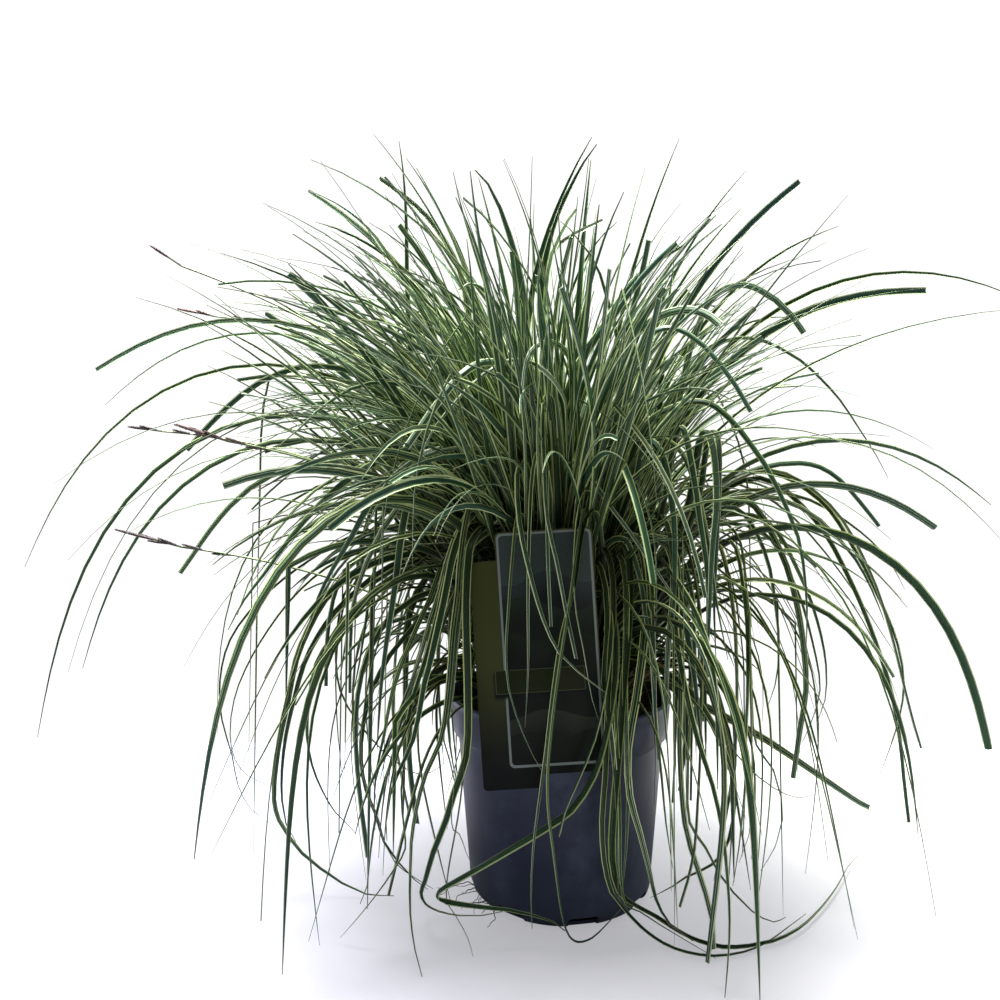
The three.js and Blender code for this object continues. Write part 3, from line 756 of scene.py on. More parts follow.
# How often each habit and width comes in a ring, and how far a leaf's heading strays, in radians.
RING_HABITS = {
    "centre": {"tall": 0.6, "arching": 0.4, "stray": 3.1, "narrow": 0.25, "broad": 0.3},
    "inner": {"tall": 0.46, "arching": 0.48, "stray": 1.5, "narrow": 0.28, "broad": 0.2},
    "middle": {"tall": 0.2, "arching": 0.6, "stray": 0.9, "narrow": 0.3, "broad": 0.12},
    "outer": {"tall": 0.1, "arching": 0.55, "stray": 0.6, "narrow": 0.3, "broad": 0.12},
}
FREE = {
    "seed": 5,
    "steps": 22,
    "fold_share": 0.05,
    "cut_share": 0.14,
    "wisp_share": 0.08,
    "left_reach": 0.2,  # how much later the leaves on the left bend, as a share
    "left_lean": 0.6,  # how much more they lean at the root, as a share
    "lopsided": 0.45,  # how many more leaves grow on the left, and fewer on the right, as a share
    "tries": 90,
    "inner_clear": 0.03,  # how far a root keeps from its ring's edges
    "outer_clear": 0.02,
    "turn": (-0.7, 0.7),  # how far a leaf's heading turns, in radians
    "wave": (0.02, 0.2),  # how far it sways to both sides, in radians
    "narrow": (1.4, 2.9),
    "middling": (3, 5.4),
    "broad": (5.6, 8.2),
    "roll": (-95, 95),
    "fold_place": (0.45, 0.75),
    "fold_angle": (35, 100),
    "steepest": 179,
    "trim": 0.96,  # how a leaf that reaches the floor is shortened
}
# The clump's dense body: height above the floor and radius, round an axis to the left of the pot's.
BODY = [(0, 180), (150, 208), (300, 254), (420, 264), (520, 246), (600, 192), (660, 124)]
BODY_SHIFT = {"most": 48, "height": 300}
# Free leaves stay out of this space, from and to in X, Y and Z, from the label towards the front.
LABEL_ZONE = ((-86, 42), (-400, -88), (0, 322))
POT_ZONE = {"inside": 88, "outside": 100, "top": 171}
REACH = 4  # how far past the CAD model's box a free leaf may go
LOWEST = [value / MM - REACH for value in cad_low]
HIGHEST = [value / MM + REACH for value in cad_high]
# The clump's own outline: a dome over the soil, and a slope under the outermost tips.
OUTLINE = {"dome_radius": 500, "dome_height": 530, "slope_from": 240, "slope": 0.8}


def free_path(start, azimuth, tilt, length, bend, hang, sway, fold, steps):
    """Steps along a leaf whose tilt grows towards hang and whose heading sways. It ends over the floor."""
    place = np.array(start, float)
    places = [place.copy()]
    headings = [azimuth]
    step = length / steps
    for i in range(steps):
        s = (i + 0.5) * step
        share = s / length
        now = mix(tilt, hang, 1 - math.exp(-((s / bend) ** ARC["power"])))
        if fold and share > fold["share"]:
            now = min(now + fold["angle"], math.radians(FREE["steepest"]))
        wave = sway["wave"] * math.sin(2 * math.pi * (share + sway["phase"]))
        heading = azimuth + sway["turn"] * share + wave
        if place[2] + step * math.cos(now) < FLOOR_REST:
            return free_path(start, azimuth, tilt, FREE["trim"] * s, bend, hang, sway, fold, steps)
        level = math.sin(now)
        ahead = np.array([level * math.cos(heading), level * math.sin(heading), math.cos(now)])
        place = place + step * ahead
        places.append(place.copy())
        headings.append(heading)
    return places, headings


def in_label(place):
    return all(low < value < high for value, (low, high) in zip(place, LABEL_ZONE))


def in_pot(place):
    x, y, z = place
    radius = math.hypot(x, y)
    in_wall = z < POT_ZONE["top"] and POT_ZONE["inside"] < radius < POT_ZONE["outside"]
    return in_wall or (z < SOIL_SURFACE - LEAF["root_below"] - 1 and radius < POT_ZONE["outside"])


def in_outline(place):
    """Whether a place is in the clump's outline and, with some reach, in the CAD model's box."""
    radius = math.hypot(place[0], place[1])
    if radius >= OUTLINE["dome_radius"]:
        return False
    dome = OUTLINE["dome_height"] * math.sqrt(1 - (radius / OUTLINE["dome_radius"]) ** 2)
    slope = OUTLINE["slope"] * (radius - OUTLINE["slope_from"])
    low = (LOWEST[0], LOWEST[1], slope)
    high = (HIGHEST[0], HIGHEST[1], min(SOIL_SURFACE + dome, HIGHEST[2]))
    return all(a < value < b for a, value, b in zip(low, place, high))


def in_body(place):
    heights, radii = zip(*BODY)
    shift = BODY_SHIFT["most"] * clamp(place[2] / BODY_SHIFT["height"])
    wide = np.interp(place[2], heights, radii)
    return math.hypot(place[0] + shift, place[1]) < wide and place[1] > LOWEST[1]


def is_clear(places, within=in_outline):
    """Whether a leaf keeps off the pot and the label, and stays within a space."""
    middles = [(before + place) / 2 for before, place in zip(places, places[1:])]
    return all(within(place) and not in_label(place) and not in_pot(place) for place in middles + places[1:])


def draw_free_leaf(cell, draw):
    """One free leaf of a tuft, or None when no try keeps clear."""
    ring = cell["ring"]
    habits = RING_HABITS[ring["name"]]
    for _ in range(FREE["tries"]):
        kind = draw()
        name = "tall" if kind < habits["tall"] else "falling"
        if habits["tall"] <= kind < habits["tall"] + habits["arching"]:
            name = "arching"
        habit = HABITS[name]
        wisp = draw() < FREE["wisp_share"]
        u = between(draw, ring["inner"] + FREE["inner_clear"], ring["outer"] - FREE["outer_clear"])
        azimuth = between(draw, cell["from"], cell["to"])
        left = clamp(-math.cos(azimuth))
        tilt = math.radians(between(draw, *habit["lean"])) * (1 + FREE["left_lean"] * left)
        bend = between(draw, *habit["bend"]) * (1 + FREE["left_reach"] * left)
        length = between(draw, *habit["length"])
        hang = math.radians(between(draw, *habit["hang"]))
        sway = {"turn": between(draw, *FREE["turn"]), "wave": between(draw, *FREE["wave"]), "phase": draw()}
        heading = azimuth + between(draw, -1, 1) * habits["stray"]
        size = draw()
        breadth = "broad" if size > 1 - habits["broad"] else "middling"
        if wisp or size < habits["narrow"]:
            breadth = "narrow"
        width = between(draw, *FREE[breadth])
        roll = math.radians(between(draw, *FREE["roll"]))
        cut = draw() < FREE["cut_share"]
        fold = None
        if draw() < FREE["fold_share"]:
            share = between(draw, *FREE["fold_place"])
            fold = {"share": share, "angle": math.radians(between(draw, *FREE["fold_angle"]))}
        chance = draw()
        root = point_at(u, azimuth, -LEAF["root_below"])
        places, headings = free_path(root, heading, tilt, length, bend, hang, sway, fold, FREE["steps"])
        if is_clear(places, in_outline if wisp else in_body):
            sides = [level_side(heading) for heading in headings]
            leaf = {"shares": np.linspace(0, 1, len(places)), "places": places, "sides": sides}
            return dict(leaf, width=width, roll=roll, cut=cut, chance=chance)
    return None


# ---- Sheaths: the bundle of leaf bases at the foot of each tuft ----

SHEATH = {
    "count": 16,
    "clear": 0.03,  # how far they keep from their ring's edges
    "side_clear": 0.04,  # and from the sides of their tuft, as a share of its angle
    "radius": 2.7,
    "thickness": (0.75, 1.25),
    "taper": 0.55,
    "tallness": (0.7, 1.7),
    "dry_share": 0.4,
    "driest_live": 0.25,
    "sides": 7,
    "rings": 5,
}
DEAD_LEAVES = {
    "count": 4,
    "lean": (0, 25),
    "turn": (-1, 1),
    "wave": 0.1,
    "length": (35, 110),
    "bend": 90,
    "hang": (90, 160),
    "width": (1.2, 3.4),
    "roll": (-1.5, 1.5),  # radians
    "steps": 8,
}


def add_sheaths(skin, cell, draw):
    """The sheaths of a tuft, and a few short dead leaves between them."""
    ring = cell["ring"]
    for i in range(SHEATH["count"]):
        share_u, share_azimuth = even_shares(i)
        u = mix(ring["inner"] + SHEATH["clear"], ring["outer"] - SHEATH["clear"], share_u)
        across = mix(SHEATH["side_clear"], 1 - SHEATH["side_clear"], share_azimuth)
        azimuth = mix(cell["from"], cell["to"], across)
        top = ring["sheath_top"] * between(draw, *SHEATH["tallness"])
        path = [point_at(u, azimuth, s) for s in np.linspace(-CROWN["root_depth"], top, SHEATH["rings"])]
        wide = SHEATH["radius"] * between(draw, *SHEATH["thickness"])
        radii = wide * (1 - SHEATH["taper"] * np.linspace(0, 1, SHEATH["rings"]) ** 2)
        dry = 1.0 if draw() < SHEATH["dry_share"] else SHEATH["driest_live"] * draw()
        add_tube(skin, path, radii, SHEATH["sides"], slot=1, chance=draw(), dry=dry)
    for _ in range(DEAD_LEAVES["count"]):
        u = between(draw, ring["inner"], ring["outer"])
        azimuth = between(draw, cell["from"], cell["to"])
        tilt = start_tilt(u, azimuth) + math.radians(between(draw, *DEAD_LEAVES["lean"]))
        sway = {"turn": between(draw, *DEAD_LEAVES["turn"]), "wave": DEAD_LEAVES["wave"], "phase": draw()}
        root = point_at(u, azimuth, -LEAF["root_below"])
        length = between(draw, *DEAD_LEAVES["length"])
        hang = math.radians(between(draw, *DEAD_LEAVES["hang"]))
        steps = DEAD_LEAVES["steps"]
        places = free_path(root, azimuth, tilt, length, DEAD_LEAVES["bend"], hang, sway, None, steps)[0]
        width = between(draw, *DEAD_LEAVES["width"])
        roll = between(draw, *DEAD_LEAVES["roll"])
        chance = draw()
        if is_clear(places):
            shares = np.linspace(0, 1, len(places))
            sides = carried_sides(places, azimuth)
            add_blade(skin, shares, places, sides, width, roll, False, chance, dry=1.0)


# ---- Tufts as pieces ----

STRAND = {
    "smoothing": 5,
    "bow": 32,  # how far a leaf may bow to the side at its tip
    "width": (0.7, 1.05),
    "roll": 2,
    "cut_share": 0.5,
    "long_width": 1.1,
    "long_facing": 0.75,
    "stem_radii": (1.15, 0.8),
    "stem_sides": 7,
    "stem_half": 3,  # its half width in the leaf's material, in radii
}
# Leaves behind keep more of their length: the sines of the azimuth between which that grows, and by how much.
BEHIND = {"from": 0.5, "to": 0.9, "kept": 0.9}


def add_strand(skin, cell, strand, shown, draw):
    """A stem, or a leaf of the CAD model. Only the long leaves keep their length and place as they are."""
    if "curve" in strand:
        radii = np.linspace(*STRAND["stem_radii"], len(strand["curve"]))
        values = {"half": STRAND["stem_half"] * radii, "chance": draw()}
        add_tube(skin, strand["curve"], radii, STRAND["stem_sides"], **values)
        return
    long = strand.get("long", False)
    shrink = 1 if long else mix(*shown, draw() ** 2)
    drawn = dict(strand, length=shrink * strand["length"])
    shares, places, azimuths = strand_path(cell, drawn, BLADE["segments"])
    places = smoothed(places, STRAND["smoothing"])
    if long:
        sides = broad_sides(places, shares, STRAND["long_facing"])
        width = STRAND["long_width"] * strand["width"]
        add_blade(skin, shares, places, sides, width, strand["roll"], strand["cut"], draw())
        return
    sides = [level_side(azimuth) for azimuth in azimuths]
    places += np.outer(np.square(shares), sides[0]) * between(draw, -STRAND["bow"], STRAND["bow"])
    width = between(draw, *STRAND["width"]) * strand["width"]
    cut = strand["cut"] and draw() < STRAND["cut_share"]
    add_blade(skin, shares, places, sides, width, STRAND["roll"] * strand["roll"], cut, draw())


def make_tufts(materials):
    """One piece for each tuft: its sheaths, the CAD model's leaves and stems, and free leaves."""
    cells = make_cells()
    place_flower_stems(cells)
    place_long_leaves(cells)
    draw = seeded_random(LEAF["seed"])
    for cell in cells:
        draw_leaves(cell, draw)
    free = seeded_random(FREE["seed"])
    for cell in cells:
        skin = Skin()
        add_sheaths(skin, cell, free)
        middle = (cell["from"] + cell["to"]) / 2
        behind = smooth(clamp((math.sin(middle) - BEHIND["from"]) / (BEHIND["to"] - BEHIND["from"])))
        shown = [mix(share, 1, BEHIND["kept"] * behind) for share in cell["ring"]["shown"]]
        for strand in cell["strands"]:
            add_strand(skin, cell, strand, shown, free)
        for _ in range(round(cell["ring"]["extra"] * (1 - FREE["lopsided"] * math.cos(middle)))):
            leaf = draw_free_leaf(cell, free)
            if leaf:
                add_blade(skin, **leaf)
        skin.make(f"tuft_{cell['name']}", materials, [f"leaves_{cell['name']}"])


# ---- Single leaves of the picture: ones that hang over the label and the pot, and ones that arch above ----

# Each point is the picture's column and row in pixels, and the depth Y in millimetres. The root is the share
# of the crown's radius and the azimuth in degrees.
SEEN_LEAVES = {
    "folded_over_label": {"root": (0.8, -85), "width": 6.6, "cut": True, "seen": [
        (560, 560, -66), (556, 465, -80), (551, 402, -90), (546, 396, -94), (543, 403, -98),
        (544, 473, -106), (547, 520, -109), (556, 560, -111), (566, 612, -112), (576, 659, -113)]},
    "broad_over_label": {"root": (0.8, -100), "width": 7.5, "seen": [
        (534, 600, -70), (530, 520, -76), (526, 470, -86), (521, 462, -93), (517, 474, -101),
        (519, 521, -108), (527, 562, -111), (543, 619, -112), (559, 653, -112), (578, 672, -111),
        (607, 694, -107)]},
    "label_to_floor": {"root": (0.9, -75), "width": 4.8, "seen": [
        (602, 600, -66), (600, 530, -80), (595, 512, -90), (588, 514, -98), (582, 532, -104),
        (574, 586, -108), (562, 634, -110), (553, 691, -111), (546, 749, -112), (541, 787, -113),
        (533, 850, -113), (531, 900, -113), (532, 929, -112)]},
    "thin_on_label": {"root": (0.7, -95), "width": 3.2, "seen": [
        (541, 560, -72), (540, 480, -80), (538, 452, -88), (533, 470, -96), (529, 540, -106),
        (528, 600, -108), (528, 672, -109), (525, 728, -110)]},
    "short_on_label": {"root": (0.6, -90), "width": 3, "cut": True, "seen": [
        (552, 560, -66), (551, 500, -84), (547, 470, -94), (547, 500, -101), (548, 563, -107),
        (551, 627, -109)]},
    "along_label_frame": {"root": (0.9, -110), "width": 3, "seen": [
        (524, 600, -68), (524, 530, -82), (521, 514, -92), (517, 517, -99), (513, 550, -105),
        (508, 615, -107), (506, 655, -108), (509, 690, -109), (516, 715, -109), (532, 754, -110),
        (541, 770, -110)]},
    "right_on_label": {"root": (0.85, -70), "width": 3.6, "seen": [
        (592, 600, -70), (593, 520, -78), (590, 494, -86), (584, 492, -92), (578, 506, -99),
        (574, 540, -106), (573, 580, -109), (576, 615, -109), (583, 650, -109), (592, 700, -108),
        (604, 735, -105)]},
    "curl_under_pot": {"root": (0.9, -80), "width": 5, "seen": [
        (592, 600, -64), (590, 530, -78), (587, 512, -90), (583, 512, -98), (577, 545, -106),
        (569, 605, -111), (560, 660, -113), (552, 720, -115), (547, 780, -114), (549, 820, -112),
        (553, 850, -111), (558, 890, -108), (563, 920, -103), (569, 936, -101), (578, 942, -99),
        (592, 938, -97), (606, 925, -95), (621, 909, -93)]},
    "across_pot": {"root": (0.95, -65), "width": 7.2, "seen": [
        (566, 640, -50), (584, 592, -66), (602, 588, -82), (614, 618, -94), (617, 660, -100),
        (613, 700, -103), (604, 745, -104), (594, 776, -104), (572, 810, -104), (547, 828, -104),
        (512, 849, -104), (478, 869, -104), (453, 883, -103), (440, 891, -102), (438, 896, -101),
        (442, 900, -97), (453, 903, -92), (481, 907, -86), (509, 910, -86), (532, 915, -86),
        (554, 922, -86), (565, 931, -85)]},
    "folded_under_label": {"root": (0.9, -72), "width": 5.5, "cut": True, "seen": [
        (572, 640, -52), (588, 600, -68), (604, 594, -84), (613, 616, -95), (613, 650, -102),
        (609, 680, -105), (596, 740, -110), (578, 784, -110), (566, 812, -109), (560, 836, -107)]},
    "left_of_label": {"root": (0.9, -125), "width": 6.6, "seen": [
        (518, 600, -44), (512, 540, -60), (499, 524, -74), (482, 528, -86), (472, 541, -94),
        (469, 552, -100), (466, 600, -104), (467, 660, -105), (468, 710, -106), (466, 757, -106),
        (454, 793, -106), (446, 820, -105), (433, 853, -99), (425, 881, -86), (421, 893, -74),
        (426, 905, -63), (439, 912, -58), (459, 916, -62), (481, 916, -64), (502, 912, -66)]},
    "left_to_front": {"root": (0.9, -120), "width": 7, "seen": [
        (522, 560, -44), (512, 500, -56), (494, 478, -68), (477, 486, -80), (466, 520, -88),
        (459, 572, -94), (458, 590, -92), (453, 629, -97), (449, 680, -102), (446, 710, -106),
        (440, 742, -110), (426, 773, -114), (416, 810, -118), (411, 843, -122), (410, 873, -126),
        (410, 914, -130), (415, 951, -135), (422, 977, -138)]},
    "left_long": {"root": (0.95, -140), "width": 6.5, "seen": [
        (506, 560, -44), (486, 526, -56), (464, 528, -70), (448, 566, -82), (438, 612, -92),
        (425, 660, -99), (412, 699, -105), (403, 740, -110), (390, 765, -113), (380, 798, -116),
        (373, 831, -118), (369, 864, -120), (367, 886, -121), (360, 904, -124)]},
    "left_dark": {"root": (0.98, -150), "width": 5.5, "seen": [
        (496, 570, -40), (472, 540, -54), (449, 552, -68), (430, 598, -84), (408, 648, -95),
        (392, 693, -105), (384, 735, -110), (376, 773, -113), (374, 811, -116), (375, 830, -117)]},
    "left_thin": {"root": (0.9, -165), "width": 2.8, "seen": [
        (490, 570, -36), (450, 548, -44), (410, 570, -55), (385, 620, -72), (368, 680, -84),
        (361, 740, -90), (363, 776, -92), (371, 803, -92), (379, 823, -90), (384, 843, -86),
        (395, 863, -78), (415, 878, -66), (433, 889, -56)]},
    "left_inner": {"root": (0.9, -135), "width": 6.5, "seen": [
        (510, 560, -46), (494, 516, -58), (473, 514, -72), (456, 545, -84), (444, 600, -94),
        (428, 670, -104), (425, 680, -105), (413, 740, -112), (398, 773, -115), (390, 795, -117),
        (386, 823, -119), (387, 841, -120)]},
    "left_bent_out": {"root": (0.85, -130), "width": 3, "seen": [
        (500, 600, -48), (470, 580, -66), (440, 610, -84), (422, 665, -95), (412, 720, -102),
        (401, 790, -108), (404, 830, -110), (405, 849, -110), (395, 868, -108), (373, 899, -104),
        (355, 921, -99), (340, 938, -94)]},
    "left_kinked": {"root": (0.98, -135), "width": 3.2, "seen": [
        (516, 610, -44), (505, 560, -60), (484, 548, -74), (464, 574, -86), (452, 640, -95),
        (447, 690, -99), (443, 740, -102), (449, 760, -103), (454, 781, -104), (451, 815, -105),
        (453, 830, -105), (459, 834, -104), (466, 853, -103), (474, 869, -102)]},
    "left_on_floor": {"root": (0.95, -128), "width": 2.4, "seen": [
        (512, 620, -50), (498, 560, -66), (480, 560, -80), (472, 620, -92), (468, 670, -99),
        (468, 700, -103), (460, 800, -104), (448, 870, -88), (446, 895, -66), (448, 905, -52),
        (456, 917, -63), (468, 939, -93), (473, 957, -116)]},
    "bundle_long_low": {"root": (0.9, -65), "width": 4.6, "seen": [
        (572, 600, -44), (586, 552, -58), (601, 545, -74), (611, 566, -88), (613, 620, -98),
        (611, 640, -100), (608, 700, -104), (605, 780, -106), (602, 820, -107), (604, 860, -106),
        (612, 893, -101), (622, 906, -96), (641, 927, -88), (663, 943, -98), (686, 952, -110),
        (714, 956, -114), (744, 952, -110), (766, 943, -98), (786, 929, -80), (806, 914, -59)]},
    "bundle_long_high": {"root": (0.95, -55), "width": 6, "seen": [
        (586, 600, -40), (606, 545, -56), (621, 538, -70), (629, 560, -84), (629, 620, -96),
        (624, 680, -102), (618, 760, -106), (613, 820, -107), (612, 860, -106), (620, 893, -101),
        (631, 903, -96), (655, 916, -86), (680, 932, -87), (699, 941, -98), (723, 947, -105),
        (749, 946, -104), (774, 941, -97), (799, 929, -82), (821, 909, -53), (837, 888, -20),
        (849, 866, 16), (860, 854, 38)]},
    "bundle_middle": {"root": (0.9, -70), "width": 3, "seen": [
        (578, 600, -48), (594, 560, -62), (606, 556, -78), (613, 584, -91), (615, 640, -99),
        (614, 680, -102), (618, 760, -105), (620, 830, -106), (621, 880, -104), (626, 905, -98),
        (640, 912, -92), (660, 925, -90), (685, 940, -96), (705, 952, -108), (716, 959, -117)]},
    "bundle_right": {"root": (0.85, -62), "width": 5, "seen": [
        (584, 600, -46), (604, 560, -60), (619, 555, -76), (626, 585, -90), (626, 640, -98),
        (625, 680, -101), (627, 760, -104), (628, 800, -105), (626, 850, -105), (622, 895, -102)]},
    "bundle_left": {"root": (0.85, -75), "width": 5.2, "seen": [
        (570, 620, -48), (584, 570, -62), (597, 562, -78), (606, 590, -91), (607, 640, -99),
        (604, 680, -102), (612, 740, -105), (617, 800, -106), (617, 860, -105), (619, 900, -102)]},
    "right_broad_low": {"root": (0.9, -50), "width": 7, "seen": [
        (596, 600, -40), (618, 550, -54), (638, 544, -68), (647, 580, -84), (644, 640, -94),
        (636, 700, -98), (628, 750, -103), (630, 796, -106), (640, 833, -107), (650, 873, -105),
        (656, 899, -101), (670, 924, -96), (693, 941, -98)]},
    "right_pointed": {"root": (0.9, -45), "width": 4.5, "seen": [
        (606, 600, -40), (626, 545, -54), (641, 537, -68), (650, 562, -84), (652, 610, -94),
        (649, 600, -93), (652, 660, -98), (656, 720, -101), (662, 781, -103), (666, 823, -104),
        (673, 869, -105)]},
    "right_to_front": {"root": (0.95, -45), "width": 7.4, "seen": [
        (618, 560, -38), (642, 516, -52), (662, 514, -66), (673, 552, -80), (677, 610, -93),
        (676, 630, -94), (686, 690, -104), (698, 740, -112), (713, 786, -120), (723, 833, -128),
        (728, 881, -136), (730, 922, -144), (728, 964, -152), (725, 1000, -160)]},
    "right_trimmed": {"root": (0.95, -40), "width": 7, "cut": True, "seen": [
        (626, 560, -34), (656, 524, -48), (681, 532, -62), (697, 580, -76), (704, 650, -90),
        (703, 690, -94), (701, 770, -100), (699, 806, -103), (696, 848, -106), (689, 881, -108),
        (681, 907, -110)]},
    "right_dark": {"root": (0.9, -35), "width": 7.5, "cut": True, "seen": [
        (622, 590, -32), (650, 552, -46), (670, 572, -60), (680, 630, -72), (681, 700, -78),
        (680, 750, -82), (685, 823, -92), (691, 848, -97), (698, 869, -101), (706, 894, -106),
        (713, 922, -111), (714, 950, -115)]},
    "right_swept": {"root": (0.9, -25), "width": 5, "seen": [
        (630, 590, -26), (660, 560, -40), (682, 590, -52), (690, 650, -60), (690, 700, -62),
        (688, 780, -72), (690, 823, -78), (706, 848, -80), (719, 873, -80), (734, 893, -79),
        (752, 911, -76), (774, 922, -72), (786, 917, -70)]},
    "right_upright": {"root": (0.95, -35), "width": 4.6, "seen": [
        (700, 560, -46), (730, 540, -60), (745, 600, -76), (748, 680, -86), (746, 740, -92),
        (746, 773, -95), (743, 810, -98), (739, 848, -100), (733, 886, -102)]},
    "right_short": {"root": (0.95, -30), "width": 5, "seen": [
        (690, 560, -36), (715, 540, -48), (732, 600, -60), (737, 680, -68), (736, 740, -72),
        (736, 765, -74), (733, 786, -76), (724, 805, -78)]},
    "right_round": {"root": (0.98, -20), "width": 4.5, "seen": [
        (700, 520, -24), (735, 530, -42), (748, 600, -56), (752, 680, -66), (757, 745, -70),
        (774, 770, -72), (782, 798, -73), (783, 820, -73), (776, 846, -72), (761, 871, -70)]},
    "right_straight": {"root": (0.98, 12), "width": 7.4, "cut": True, "facing": 1, "seen": [
        (700, 704, 40), (766, 740, 58), (860, 803, 60), (870, 808, 60)]},
    "right_hair": {"root": (0.9, -38), "width": 2.6, "seen": [
        (690, 600, -44), (715, 680, -70), (728, 740, -85), (746, 765, -88), (774, 788, -90),
        (799, 798, -90), (824, 793, -88)]},
    "right_hair_low": {"root": (0.9, -42), "width": 2.3, "seen": [
        (720, 560, -50), (742, 640, -70), (745, 720, -80), (748, 778, -84), (752, 810, -85),
        (749, 836, -86), (739, 863, -87)]},
    "right_behind": {"root": (0.98, 0), "width": 3.6, "seen": [
        (690, 640, 10), (720, 700, 20), (735, 800, 20), (722, 855, 10), (700, 871, 4), (686, 877, -2),
        (673, 886, -20), (650, 898, -38)]},
}
